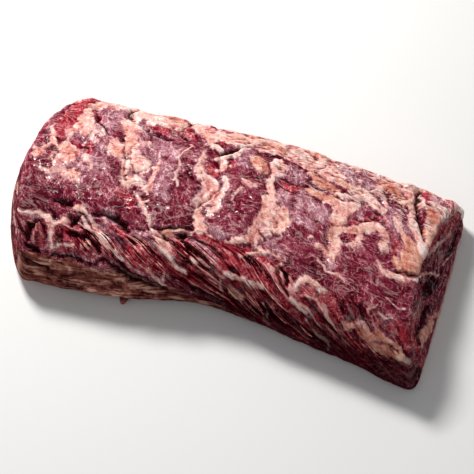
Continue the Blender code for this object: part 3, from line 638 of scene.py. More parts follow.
# Shade low on the front side, low at the left rim, and at the cut ends.
SHADE_DOWN = (188.0, 246.0)
SHADE_SLANT = 0.06
SHADE_ALONG = (-90.0, 0.0)
RIM_SHADE = 0.42
RIM_SHADE_ALONG = (148.0, 182.0)
RIM_SHADE_DOWN = (112.0, 148.0)
RIGHT_SHADE = 0.2
END_SHADE = 0.5
END_DARK_EDGE = 3.0
MEMBRANE_DOWN = (150.0, 170.0)

# ---------------------------------------------------------------- loose strands
STRAND_COUNT = 150
STRAND_SEED = 11
STRAND_SHARES = {"pale": 0.24, "red": 0.4, "dark": 0.36}
# Most start between the first two of these places along, a few between the last two.
STRAND_ALONG = (-150.0, 70.0, 188.0)
STRAND_FAR_SHARE = 0.08
# Space that their starts leave to the upper and the lower edge of the cords.
STRAND_MARGINS = (4.0, 8.0)
STRAND_LENGTH = (14.0, 48.0)
STRAND_STEP = 3.0
STRAND_LEAST_POINTS = 5
# Each path is fitted to the sway of the cords in a few rounds.
STRAND_ROUNDS = 3
STRAND_RADIUS = (0.15, 0.6)
STRAND_TIP = 0.25
STRAND_TAPER = 0.6
STRAND_LIFT = (-0.5, 0.2)
STRAND_ARCH = 1.1
# Points of the skin keep this far off the end faces, and its slope is read over this distance.
SKIN_LIMIT = 0.99
SLOPE_STEP = 1.0

# ---------------------------------------------------------------- stage
FLOOR_SIZE = 6.0
FLOOR_GREY = 0.86
FLOOR_ROUGHNESS = 0.8
WORLD_STRENGTH = 0.2
CAMERA_TARGET = (14.0, -8.0, 33.0)
CAMERA_AZIMUTH = 19.5
CAMERA_ELEVATION = 60.0
CAMERA_DISTANCE = 1264.0
CAMERA_FOCUS_PIXELS = 1300.0
CAMERA_REACH = 20.0
IMAGE_PIXELS = 474.0
SENSOR = 36.0
# Azimuth, elevation, distance and size in metres, power in watts, colour.
KEY_LIGHT = (230.0, 50.0, 1.6, 0.36, 28.3, (1.0, 0.98, 0.95))
FILL_LIGHT = (0.0, 55.0, 1.8, 1.4, 4.0, (0.97, 0.98, 1.0))


# ---------------------------------------------------------------- shape of the slab
def read_row(row, place):
    """Value of an evenly spaced row at place 0 to 1, on a smooth curve through its numbers."""
    row = np.asarray(row, float)
    last = len(row) - 1
    step = np.clip((place * last).astype(int), 0, last - 1)
    f = place * last - step
    ends = np.concatenate([[2 * row[0] - row[1]], row, [2 * row[-1] - row[-2]]])
    a, b, c, d = (ends[step + i] for i in range(4))
    return b + 0.5 * f * (c - a + f * (2 * a - 5 * b + 4 * c - d + f * (3 * (b - c) + d - a)))


def through_three(first, middle, last, t):
    """Parabola through three values at t = 0, 0.5 and 1."""
    return first * (1 - t) * (1 - 2 * t) + middle * 4 * t * (1 - t) + last * t * (2 * t - 1)


def smooth_step(low, high, value):
    t = np.clip((value - low) / (high - low), 0.0, 1.0)
    return t * t * (3 - 2 * t)


def noise_field(a, b, size_a, size_b, piece):
    """Smooth noise, about -1 to 1, with lumps of the given sizes, read from one slice."""
    points = zip((a / size_a).tolist(), (b / size_b).tolist())
    return np.array([noise.noise((i, j, piece)) for i, j in points])


def round_square(v, w):
    """Pull a square's points onto a superellipse, so that the section has round corners."""
    size = np.maximum(np.abs(v), np.abs(w))
    safe = np.where(size < TINY, 1.0, size)
    ring = (np.abs(v) / safe) ** CORNER_POWER + (np.abs(w) / safe) ** CORNER_POWER
    pull = np.where(size < TINY, 1.0, 1.0 / np.maximum(ring, TINY) ** (1 / CORNER_POWER))
    return v * pull, w * pull


def section(place, v, w):
    """Y and Z of a point of the cross-section. v runs front to back, w runs foot to top."""
    v, w = round_square(v, w)
    t = (v + 1) / 2
    h = (w + 1) / 2
    top = through_three(*(read_row(row, place) for row in TOP_ROWS), t)
    foot = read_row(FRONT_FOOT, place)
    belly = read_row(BACK_BELLY, place)
    front = through_three(foot, foot + FRONT_BELLY_IN, foot + SHOULDER_IN, h)
    back = through_three(belly - BACK_FOOT_IN, belly, belly - BACK_EDGE_IN, h)
    return front * (1 - t) + back * t, h * top


def end_rise(y, z):
    """Place of a point from the front to the back of an end face, and its share of the lean-in."""
    t = np.clip((y - END_FROM_Y) / END_SPAN_Y, -END_OVERSHOOT, 1 + END_OVERSHOOT)
    return t, (np.maximum(z, 0.0) / LEAN_HEIGHT) ** LEAN_POWER


def end_planes(y, z):
    """X of the two cut ends at a point of the section."""
    t, rise = end_rise(y, z)
    left = through_three(*LEFT_END, t) + LEFT_LEAN * rise
    right = through_three(*RIGHT_END, t) - RIGHT_LEAN * rise
    return left, right


def rim_tuck(place, y, z):
    """How far a point near the +X end is drawn in with the rim."""
    t, rise = end_rise(y, z)
    return through_three(*RIM_TUCK, t) * rise * smooth_step(TUCK_FROM, 1.0, place)


def slab_point(u, v, w):
    """Place points of the block u, v, w in -1 to 1 on the slab, without relief, in millimetres."""
    from_end = (1 - np.abs(u)) * HALF_LENGTH
    near = np.clip(1 - from_end / END_ROUND, 0.0, 1.0)
    shrink = 1 - (END_ROUND / END_SHRINK) * (1 - np.sqrt(1 - near * near))
    place = (u + 1) / 2
    y, z = section(place, v * shrink, w * shrink)
    left, right = end_planes(y, z)
    x = left * (1 - place) + right * place - rim_tuck(place, y, z)
    return np.stack([x + CENTRE_X, y + CENTRE_Y, np.maximum(z - FLOOR_CUT, 0.0)], -1)


def wandering_edge(row, place, x, piece):
    """Value of a row with a small wander along X."""
    return read_row(row, place) + EDGE_WANDER * noise_field(x, 0 * x, EDGE_LUMP, EDGE_LUMP, piece)


def core_point(u, v, w):
    """Place block points on the body inside the fat cap, which reaches out past the lean's
    free faces."""
    place = (u + 1) / 2
    x = u * (HALF_LENGTH + 4 * CORE_CLEAR) + CENTRE_X
    z = CAP_UNDER + (w + 1) / 2 * (LEAN_HEIGHT + 2 * CORE_CLEAR - CAP_UNDER)
    foot = read_row(FRONT_FOOT, place)
    belly = read_row(BACK_BELLY, place)
    h = np.clip(z / LEAN_HEIGHT, 0.0, 1.0)
    side = through_three(foot, foot + FRONT_BELLY_IN, foot + SHOULDER_IN, h)
    edge = wandering_edge(CAP_FRONT_TOP, place, x, CAP_EDGE_SLICE)
    out = smooth_step(edge - CAP_FRONT, edge + CAP_FRONT, z)
    front = side + CAP_FRONT - out * (CAP_FRONT + CORE_CLEAR)
    straight = 1 - read_row(CAP_STRIP, place) / TOP_SPAN
    crossing = through_three(*(read_row(row, place) for row in TOP_ROWS), straight)
    strip = wandering_edge(CAP_STRIP, place, x, STRIP_EDGE_SLICE)
    lean_in = (strip - CAP_BEHIND) / (crossing - CAP_BEND_Z)
    back = belly - BACK_EDGE_IN - CAP_BEHIND - lean_in * np.maximum(z - CAP_BEND_Z, 0.0)
    t = (v + 1) / 2
    return np.stack([x, front * (1 - t) + back * t + CENTRE_Y, z], -1)


# ---------------------------------------------------------------- relief of the surface
def wandered(along, down):
    """Surface coordinates with a natural wander, so that marks get uneven edges."""
    a, d = along.copy(), down.copy()
    for turn, (reach, size) in enumerate(WANDER):
        a += reach * noise_field(along, down, size, size, WANDER_SLICES[0] + turn)
        d += reach * noise_field(along, down, size, size, WANDER_SLICES[1] + turn)
    return a, d


def inside_mark(along, down, path):
    """How far inside one mark each point is, in millimetres. Outside it is less than zero."""
    best = np.full(along.shape, FAR_OUTSIDE)
    for (a0, d0, w0), (a1, d1, w1) in zip(path, path[1:]):
        run_a, run_d = a1 - a0, d1 - d0
        share = ((along - a0) * run_a + (down - d0) * run_d) / (run_a ** 2 + run_d ** 2)
        share = np.clip(share, 0.0, 1.0)
        off = np.hypot(along - a0 - share * run_a, down - d0 - share * run_d)
        best = np.maximum(best, w0 + share * (w1 - w0) - off)
    return best


def inside_marks(along, down, paths):
    best = np.full(along.shape, FAR_OUTSIDE)
    for path in paths:
        best = np.maximum(best, inside_mark(along, down, path))
    return best


def crevice_depth(along, down):
    """Depth of the crevices, and how dark the shade painted into them is, 0 to 1."""
    depth = np.zeros(along.shape)
    dark = np.zeros(along.shape)
    for deepest, path in CREVICES:
        inside = inside_mark(along, down, path)
        bed = max(CREVICE_NARROWEST, CREVICE_BED * max(spot[2] for spot in path))
        bank = smooth_step(-CREVICE_REACH, bed, inside)
        cut = CREVICE_SHARE * deepest * min(1.0, deepest / CREVICE_FULL)
        depth = np.maximum(depth, cut * bank)
        gloom = smooth_step(-CREVICE_DARK_REACH, bed, inside)
        dark = np.maximum(dark, gloom * min(1.0, deepest / CREVICE_DARKEST))
    return depth, dark


def pillow(along, down, patch):
    """Smooth flat-topped rise of height 1 over one patch."""
    centre_along, centre_down, half_width, half_length = patch[:4]
    a = np.abs(along - centre_along) / half_width
    d = np.abs(down - centre_down) / half_length
    ring = (a ** LOBE_POWER + d ** LOBE_POWER) ** (1 / LOBE_POWER)
    return 1 - smooth_step(1 - LOBE_EDGE, 1 + LOBE_EDGE, ring)


def below_shoulder(down):
    """0 on the upper face to 1 on the front side."""
    return smooth_step(CORD_FROM, CORD_FROM + CORD_FADE, down)


def front_share(along, down):
    """1 on the shaggy front side, 0 on the upper face and on the fat cap."""
    place = (along / HALF_LENGTH + 1) / 2
    lowest = read_row(CORD_TO, place)
    inside = below_shoulder(down) * read_row(CORD_STRENGTH, place)
    return inside * (1 - smooth_step(lowest - CORD_FADE, lowest, down))


def cord_sway(along, down, piece):
    """How far, in millimetres, the cords of the front side bend off their straight slant."""
    weight, long_size, cross_size = CORD_RIPPLE
    sway = noise_field(along, down, CORD_SWAY_SIZE, CORD_SWAY_SIZE, piece)
    sway += weight * noise_field(along, down, long_size, cross_size, piece + 1)
    return CORD_SWAY * sway


def cord_relief(along, down):
    """Rounded slanting cords of meat on the front side, coarse ones with fine ones on them."""
    height = np.zeros(along.shape)
    for pitch, rise, piece in (COARSE_CORDS, FINE_CORDS):
        across = (down - CORD_SLOPE * along + cord_sway(along, down, piece)) / pitch
        height += rise * (2 * np.abs(np.sin(np.pi * across)) - 1)
    patches = noise_field(along, down, CORD_PATCH_SIZE, CORD_PATCH_SIZE, CORD_PATCH_SLICE)
    patch = CORD_PATCH_LEAST + (1 - CORD_PATCH_LEAST) * smooth_step(*CORD_PATCH_RANGE, patches)
    return height * patch * front_share(along, down)


def fibre_relief(along, down):
    """Low ridges that follow the grain of the upper face."""
    long_size, cross_size, rise = FIBRE_RELIEF
    with_grain = along * math.cos(FIBRE_TURN) + down * math.sin(FIBRE_TURN)
    across = down * math.cos(FIBRE_TURN) - along * math.sin(FIBRE_TURN)
    return rise * noise_field(with_grain, across, long_size, cross_size, FIBRE_SLICE)


def creased_share(along, down):
    return CREASE_SHARE + (1 - CREASE_SHARE) * pillow(along, down, CREASED_PATCH)


def crease_relief(along, down):
    """Sharp low folds of the film, which wind over the upper face."""
    long_size, cross_size, folds, rise = CREASES
    weight, long_ripple, cross_ripple = CREASE_RIPPLE
    turns = folds * noise_field(along, down, long_size, cross_size, CREASE_SLICE)
    turns += weight * noise_field(along, down, long_ripple, cross_ripple, CREASE_RIPPLE_SLICE)
    fold = 2 * np.abs(np.sin(np.pi * turns)) - 1
    return rise * fold * (1 - below_shoulder(down)) * creased_share(along, down)


def relief(along, down):
    """Height of the surface above the smooth slab, in millimetres."""
    height = fibre_relief(along, down) * (1 - below_shoulder(down))
    for turn, (size, rise) in enumerate(LUMPS):
        height += rise * noise_field(along, down, size, size, LUMP_SLICE + SLICE_STEP * turn)
    for lobe in LOBES:
        height += lobe[4] * pillow(along, down, lobe)
    a, d = wandered(along, down)
    fat = smooth_step(-FAT_BANK, FAT_BANK, inside_marks(a, d, WHITE_FAT + CREAM_FAT + WARM_FAT))
    crumb_rise, crumb_size = FAT_CRUMB
    crumbs = crumb_rise * noise_field(along, down, crumb_size, crumb_size, FAT_CRUMB_SLICE)
    height += fat * (FAT_RISE + crumbs)
    height += SINEW_RISE * smooth_step(-SINEW_BANK, SINEW_BANK, inside_marks(a, d, SINEWS))
    height -= crevice_depth(a, d)[0]
    rolls = 1 - smooth_step(*ROLL_FADE, down)
    for (long_size, cross_size, rise), piece in ((ROLLS, ROLL_SLICE), (ROLL_CRUMBS, ROLL_CRUMB_SLICE)):
        height += rise * rolls * noise_field(along, down, long_size, cross_size, piece)
    return height + cord_relief(along, down) + crease_relief(along, down)


def end_relief(y, z, right):
    """Height of a cut end above its smooth shape."""
    height = np.zeros(y.shape)
    for turn, (size, rise) in enumerate(END_LUMPS):
        height += rise * noise_field(y, z, size, size, END_LUMP_SLICE + SLICE_STEP * turn + right)
    if right:
        for hollow in END_HOLLOWS:
            height -= hollow[4] * pillow(y, z, hollow)
    sinews = RIGHT_FACE_SINEWS if right else LEFT_FACE_SINEWS
    return height + END_SINEW_RISE * smooth_step(-SINEW_BANK, SINEW_BANK, inside_marks(y, z, sinews))


# ---------------------------------------------------------------- meshes
def divided_block(name, cells):
    """A closed box from -1 to 1 on each axis, divided into cells."""
    bm = bmesh.new()
    bmesh.ops.create_cube(bm, size=2.0)
    for axis, count in enumerate(cells):
        edges = [e for e in bm.edges if abs(e.verts[0].co[axis] - e.verts[1].co[axis]) > TINY]
        bmesh.ops.subdivide_edges(bm, edges=edges, cuts=count - 1, use_grid_fill=True)
    mesh = bpy.data.meshes.new(name)
    bm.to_mesh(mesh)
    bm.free()
    return mesh


def read_values(items, name, width=1, kind=float):
    """One property of many mesh elements as an array, with a row for each where it is wider."""
    flat = np.empty(len(items) * width, kind)
    items.foreach_get(name, flat)
    return flat.reshape(-1, width) if width > 1 else flat


def read_points(mesh):
    return read_values(mesh.vertices, "co", 3)


def read_normals(mesh):
    return read_values(mesh.vertex_normals, "vector", 3)


def write_points(mesh, points):
    mesh.vertices.foreach_set("co", np.asarray(points, float).ravel())
    mesh.update()


def add_object(name, data):
    piece = bpy.data.objects.new(name, data)
    bpy.context.scene.collection.objects.link(piece)
    return piece


def down_front(w):
    return TOP_SPAN + (1 - w) / 2 * FRONT_SPAN


def down_back(w):
    return -(1 - w) / 2 * BACK_SPAN


def down_top(v):
    return (1 - v) / 2 * TOP_SPAN


def block_marks(u, v, w):
    """Surface coordinates of block points, and how much of the relief each takes. Marks keep
    their place on the slab where the rim is tucked in."""
    place = (u + 1) / 2
    along = u * HALF_LENGTH - rim_tuck(place, *section(place, v, w))
    down = np.where(v > 1 - TINY, down_back(w), down_top(v))
    down = np.where(v < -1 + TINY, down_front(w), down)
    skirt = smooth_step(-1.0, -1.0 + 2 * SKIRT_SPAN / FRONT_SPAN, w)
    return along, down, skirt * np.where(np.abs(u) > 1 - TINY, END_RELIEF, 1.0)


def write_chart(mesh, u, v, w, points):
    """Lay the surface coordinates into the piece's UV map, with each cut end and the underside
    on a sheet of its own. The sheet of a corner is that of its face."""
    corner_vertex = read_values(mesh.loops, "vertex_index", kind=int)
    totals = read_values(mesh.polygons, "loop_total", kind=int)
    face_of = np.repeat(np.arange(len(totals)), totals)

    def over_face(values):
        return (np.bincount(face_of, values[corner_vertex]) / totals)[face_of]

    along, down, _ = block_marks(u, v, w)
    across, up, ends = over_face(v), over_face(w), over_face(u)
    sheet_down = down[corner_vertex]
    for is_side, down_side in ((across < -1 + TINY, down_front(w)),
                               (across > 1 - TINY, down_back(w)),
                               (np.abs(up) > 1 - TINY, down_top(v))):
        sheet_down = np.where(is_side, down_side[corner_vertex], sheet_down)
    chart = np.stack([along[corner_vertex], -sheet_down], -1)
    chart[up < -1 + TINY, 0] += UNDER_SHEET * SHEET_STEP
    for sign, number in ((-1, LEFT_SHEET), (1, RIGHT_SHEET)):
        is_end = ends * sign > 1 - TINY
        chart[is_end, 0] = points[corner_vertex[is_end], 1] + number * SHEET_STEP
        chart[is_end, 1] = points[corner_vertex[is_end], 2]
    layer = mesh.uv_layers.new(name=CHART)
    layer.data.foreach_set("uv", (chart * MM).ravel())


def make_whole(cells, box):
    """The whole piece of meat with its fine relief, kept inside the box."""
    mesh = divided_block("whole", cells)
    u, v, w = read_points(mesh).T
    points = slab_point(u, v, w)
    write_points(mesh, points)
    along, down, share = block_marks(u, v, w)
    height = np.zeros(len(points))
    raised = share > TINY
    height[raised] = relief(along[raised], down[raised]) * share[raised]
    for right, is_end in ((False, u < -1 + TINY), (True, u > 1 - TINY)):
        face = is_end & raised
        height[face] += end_relief(points[face, 1], points[face, 2], right) * share[face]
    write_chart(mesh, u, v, w, points)
    points = points + read_normals(mesh) * height[:, None]
    points[:, 1] -= NUB_REACH * pillow(along, down, NUB)
    write_points(mesh, np.clip(points * MM, box[0], box[1]))
    return add_object("whole", mesh)


def make_core(name, gap):
    """The body inside the fat cap, grown by the gap."""
    mesh = divided_block(name, CORE_CELLS)
    points = core_point(*read_points(mesh).T)
    write_points(mesh, points)
    write_points(mesh, (points + gap * read_normals(mesh)) * MM)
    mesh.uv_layers.new(name=CHART)
    return add_object(name, mesh)


def cut_by_core(whole, core, operation, name):
    """One part of the whole: what lies inside the core, or what lies outside it."""
    cut = whole.modifiers.new("cut", "BOOLEAN")
    cut.object = core
    cut.operation = operation
    cut.solver = "EXACT"
    bpy.context.view_layer.update()
    depsgraph = bpy.context.evaluated_depsgraph_get()
    mesh = bpy.data.meshes.new_from_object(whole.evaluated_get(depsgraph))
    for helper in (whole, core):
        bpy.data.objects.remove(helper)
    mesh.name = name
    mesh.shade_smooth()
    mesh.set_sharp_from_angle(angle=SMOOTH_ANGLE)
    return add_object(name, mesh)


# ---------------------------------------------------------------- where each mark lies
def read_chart(mesh):
    """Surface coordinates of each vertex in millimetres, and which sheet it lies on. A vertex
    between sheets takes the first of them, and faces cut from the core have no chart."""
    corner_vertex = read_values(mesh.loops, "vertex_index", kind=int)
    uv = read_values(mesh.uv_layers[CHART].data, "uv", 2)
    known = np.flatnonzero(np.abs(uv).sum(1) > TINY)
    order = known[np.argsort(-uv[known, 0], kind="stable")]
    chart = np.zeros((len(mesh.vertices), 2))
    chart[corner_vertex[order]] = uv[order]
    chart = chart / MM
    sheet = np.rint(chart[:, 0] / SHEET_STEP).astype(int)
    return chart[:, 0] - sheet * SHEET_STEP, -chart[:, 1], sheet


def hollow_share(mesh):
    """-1 on crests to 1 in hollows, from the surface against a smoothed copy of itself."""
    first, second = read_values(mesh.edges, "vertices", 2, int).T
    points = read_points(mesh)
    count = len(points)
    friends = np.maximum(np.bincount(first, minlength=count) + np.bincount(second, minlength=count), 1)
    smooth = points.copy()
    for _ in range(CAVITY_STEPS):
        for axis in range(3):
            near = np.bincount(first, smooth[second, axis], count)
            near += np.bincount(second, smooth[first, axis], count)
            smooth[:, axis] = 0.5 * smooth[:, axis] + 0.5 * near / friends
    depth = ((smooth - points) * read_normals(mesh)).sum(1) / MM
    return np.clip(depth / CAVITY_FULL, -1.0, 1.0)


def write_value(mesh, name, values):
    layer = mesh.attributes.new(name, "FLOAT", "POINT")
    layer.data.foreach_set("value", np.asarray(values, np.float32))


def inside_kind(kind, a, high, sheet):
    """How far inside the marks of one kind each point is, by the marks of its own sheet."""
    inside = np.full(len(a), FAR_OUTSIDE)
    for number, marks in SHEET_MARKS.items():
        here = sheet == number
        inside[here] = inside_marks(a[here], high[here], marks.get(kind, ()))
    return inside


def unmarked_fat(along, d, on_skin, inside, is_cap):
    """How far inside fat each point is where no mark says so."""
    if is_cap:
        base = np.full(len(along), FAT_BASE)
    else:
        strip = read_row(CAP_STRIP, np.clip((along / HALF_LENGTH + 1) / 2, 0, 1))
        base = np.where(on_skin, strip + SEAM_REACH - d, FAR_OUTSIDE)
    base = np.minimum(np.minimum(base, FAT_BASE), -FRESH_PUSH * inside["fresh"])
    return np.minimum(base, SILVER_MARGIN - SILVER_PUSH * inside["silver"])


def shade_share(along, down, sheet):
    """How far each point lies in shade."""
    low = smooth_step(*SHADE_DOWN, down + SHADE_SLANT * along) * smooth_step(*SHADE_ALONG, along)
    rim = smooth_step(*RIM_SHADE_ALONG, -along) * smooth_step(*RIM_SHADE_DOWN, down)
    on_ends = np.where(sheet == RIGHT_SHEET, RIGHT_SHADE, END_SHADE)
    return np.where(sheet == SKIN_SHEET, np.maximum(low, RIM_SHADE * rim), on_ends)


def mark_flesh(mesh, is_cap):
    """Write where a piece is fat, sinew, silverskin, freshly cut, bare or in a crevice."""
    along, down, sheet = read_chart(mesh)
    a, d = wandered(along, down)
    on_skin = sheet == SKIN_SHEET
    on_right = sheet == RIGHT_SHEET
    high = np.where(on_skin, d, -d)
    inside = {kind: inside_kind(kind, a, high, sheet) for kind in FAT_KINDS + OTHER_KINDS}
    if not is_cap:
        inside["fresh"][sheet == LEFT_SHEET] = 0.0
    white, cream, warm = (np.exp(np.clip(inside[kind], *PULL_RANGE)) for kind in FAT_KINDS)
    write_value(mesh, "warmth", (CREAM_WARMTH * cream + warm) / (white + cream + warm + UNMARKED_PULL))
    base = unmarked_fat(along, d, on_skin, inside, is_cap)
    write_value(mesh, "fat", np.max([base] + [inside[kind] for kind in FAT_KINDS], axis=0))
    for kind in OTHER_KINDS:
        write_value(mesh, kind, inside[kind])
    # Painted shade of the crevices.
    dark = np.where(on_skin, crevice_depth(a, d)[1], 0.0)
    # Painted shade in the dark pits of the +X end.
    pit_shade = inside_marks(a[on_right], high[on_right], RIGHT_FACE_DARK)
    dark[on_right] = smooth_step(-END_DARK_EDGE, END_DARK_EDGE, pit_shade)
    write_value(mesh, "crevice", dark)
    write_value(mesh, "front", np.where(on_skin, front_share(along, down), 0.0))
    # Hollows and crests: the colour takes painted shade in the hollows and painted light on the crests from
    # these.
    write_value(mesh, "hollow", hollow_share(mesh))
    write_value(mesh, "shade", shade_share(along, down, sheet))
    write_value(mesh, "creased", np.where(on_skin, creased_share(along, down), CREASE_SHARE))
    membrane = smooth_step(*MEMBRANE_DOWN, down) * is_cap
    write_value(mesh, "membrane", np.where(on_skin, membrane, 0.0))


# ---------------------------------------------------------------- strands of the front side
def relieved_skin(along, down):
    """Points of the relieved front side, and the way out of it, at surface coordinates."""
    def on_slab(a, d):
        on_top = d < TOP_SPAN
        u = np.clip(a / HALF_LENGTH, -SKIN_LIMIT, SKIN_LIMIT)
        v = np.where(on_top, 1 - 2 * d / TOP_SPAN, -1.0)
        w = np.where(on_top, 1.0, 1 - 2 * (d - TOP_SPAN) / FRONT_SPAN)
        return slab_point(u, v, w)

    run_a = on_slab(along + SLOPE_STEP, down) - on_slab(along - SLOPE_STEP, down)
    run_d = on_slab(along, down + SLOPE_STEP) - on_slab(along, down - SLOPE_STEP)
    out = np.cross(run_d, run_a)
    out /= np.linalg.norm(out, axis=1)[:, None]
    return on_slab(along, down) + out * relief(along, down)[:, None], out


def strand_path(pick):
    """Surface coordinates along one strand, which follows the cords under it."""
    first, middle, last = STRAND_ALONG
    is_far = pick.random() < STRAND_FAR_SHARE
    start_along = pick.uniform(middle, last) if is_far else pick.uniform(first, middle)
    place = np.array([(start_along / HALF_LENGTH + 1) / 2])
    lowest = float(read_row(CORD_TO, place)[0])
    start_down = pick.uniform(CORD_FROM + STRAND_MARGINS[0], lowest - STRAND_MARGINS[1])
    length = pick.uniform(*STRAND_LENGTH)
    along = start_along + np.arange(0.0, length, STRAND_STEP) / math.hypot(1.0, CORD_SLOPE)
    down = np.full(along.shape, start_down)
    for _ in range(STRAND_ROUNDS):
        sway = cord_sway(along, down, FINE_CORDS[2])
        down = start_down + CORD_SLOPE * (along - start_along) - (sway - sway[0])
    keep = (along < last) & (down < lowest) & (down > CORD_FROM)
    return along[keep], down[keep]


def strand_curve(kind):
    """An empty curve piece that its points' radii give a thickness."""
    data = bpy.data.curves.new("strands_" + kind, "CURVE")
    data.dimensions = "3D"
    data.bevel_depth = MM
    data.bevel_resolution = 1
    data.use_fill_caps = True
    return data


def make_strands():
    """Loose tapering strands of meat and sinew, as one curve piece for each tone."""
    pick = random.Random(STRAND_SEED)
    curves = {kind: strand_curve(kind) for kind in STRAND_SHARES}
    for _ in range(STRAND_COUNT):
        kind = pick.choices(list(STRAND_SHARES), list(STRAND_SHARES.values()))[0]
        radius = pick.uniform(*STRAND_RADIUS)
        lift = pick.uniform(*STRAND_LIFT)
        arch = pick.uniform(0.0, STRAND_ARCH)
        along, down = strand_path(pick)
        if len(along) < STRAND_LEAST_POINTS:
            continue
        taper = np.sin(np.pi * np.linspace(0.0, 1.0, len(along))) ** STRAND_TAPER
        points, out = relieved_skin(along, down)
        points += out * (lift + arch * (taper - 1))[:, None]
        spline = curves[kind].splines.new("POLY")
        spline.points.add(len(points) - 1)
        spots = np.concatenate([points * MM, np.ones((len(points), 1))], 1)
        spline.points.foreach_set("co", spots.ravel())
        spline.points.foreach_set("radius", STRAND_TIP + radius * taper)
        spline.use_smooth = True
    return {kind: add_object(data.name, data) for kind, data in curves.items()}


# ---------------------------------------------------------------- colours
def srgb(red, green, blue):
    """Linear colour of a screen colour given as 0 to 255."""
    def linear(value):
        value /= 255.0
        return value / 12.92 if value <= 0.04045 else ((value + 0.055) / 1.055) ** 2.4
    return (linear(red), linear(green), linear(blue), 1.0)


LEAN_TONES = ((0.0, srgb(34, 2, 8)), (0.28, srgb(80, 10, 28)), (0.5, srgb(120, 32, 54)),
              (0.74, srgb(166, 80, 98)), (1.0, srgb(238, 184, 186)))
FRESH_TONES = ((0.0, srgb(84, 2, 18)), (0.34, srgb(142, 24, 44)), (0.66, srgb(194, 78, 88)),
               (1.0, srgb(250, 180, 176)))
FILM_TONES = ((0.0, srgb(106, 40, 60)), (0.35, srgb(156, 88, 106)), (0.65, srgb(200, 150, 160)),
              (1.0, srgb(244, 222, 226)))
FAT_TONES = ((0.0, srgb(156, 46, 54)), (0.25, srgb(212, 124, 120)), (0.5, srgb(240, 182, 170)),
             (0.75, srgb(252, 214, 204)), (1.0, srgb(255, 244, 240)))
TAN_TONES = ((0.0, srgb(122, 46, 40)), (0.3, srgb(190, 104, 86)), (0.62, srgb(222, 154, 132)),
             (1.0, srgb(248, 208, 188)))
MEMBRANE_TONES = ((0.0, srgb(40, 8, 8)), (0.28, srgb(90, 38, 34)), (0.55, srgb(136, 76, 66)),
                  (0.8, srgb(164, 106, 94)), (1.0, srgb(208, 158, 142)))
FLANK_TONES = ((0.0, srgb(16, 0, 2)), (0.28, srgb(72, 2, 12)), (0.52, srgb(142, 24, 38)),
               (0.76, srgb(204, 92, 96)), (1.0, srgb(248, 192, 182)))
# Tones of the loose strands, and where their middle lies in them.
STRAND_TONES = {"pale": (FAT_TONES, 0.24), "red": (FLANK_TONES, 0.42), "dark": (LEAN_TONES, 0.2)}
VEIN_PINK = srgb(232, 166, 164)
THREAD_RED = srgb(160, 34, 44)
# Painted shade laid into hollows and crevices.
PAINTED_RECESS_SHADE = srgb(26, 0, 2)
SHADE_BROWN = srgb(26, 0, 4)
# Painted shade in the fold lines of the creased film, and painted highlight on its crests.
PAINTED_CREASE_SHADE = srgb(84, 10, 24)
PAINTED_CREASE_HIGHLIGHT = srgb(250, 216, 212)
# Pale specks painted into the colour as glints.
PAINTED_GLINT = srgb(255, 232, 230)

# Mean of a noise, and of a mask of thin lines.
NOISE_MEAN = 0.5
LINE_MEAN = 0.1
# How far the edge of each mark is torn, and how soft it is.
EDGES = {"fresh": (14.0, 1.6), "silver": (20.0, 4.0), "fat": (15.0, 1.2), "sinew": (6.0, 1.0),
         "bare": (14.0, 2.0)}
# How strongly each layer covers what lies under it.
COVER = {"silver": 0.82, "halo": 0.55, "veins": 0.5, "flecks": 0.5, "fat": 0.95, "sinew": 0.8,
         "bare": 0.92, "crests": 0.5, "lines": 0.76, "glints": 0.3}
# Strength of each layer of bump, and the height that it stands for, in metres.
FIBRE_BUMP = 0.3
FILM_BUMP = 0.8
WET_BUMP = 0.28
MEMBRANE_BUMP = 0.5
FLESH_BUMP_HEIGHT = 0.0012
STRAND_BUMP = 0.5
STRAND_BUMP_HEIGHT = 0.0008
# Flesh lets in a little light. Its gloss is all in the coat, which lies in small wet spots.
FLESH_SHADER = {"Subsurface Weight": 0.06, "Subsurface Radius": (0.004, 0.001, 0.001),
                "Subsurface Scale": 1.0, "Specular IOR Level": 0.0, "Coat Roughness": 0.24}
FLESH_ROUGHNESS = {"Dry": 0.6, "Wet": 0.3}
STRAND_ROUGHNESS = {"Dry": 0.55, "Wet": 0.3}


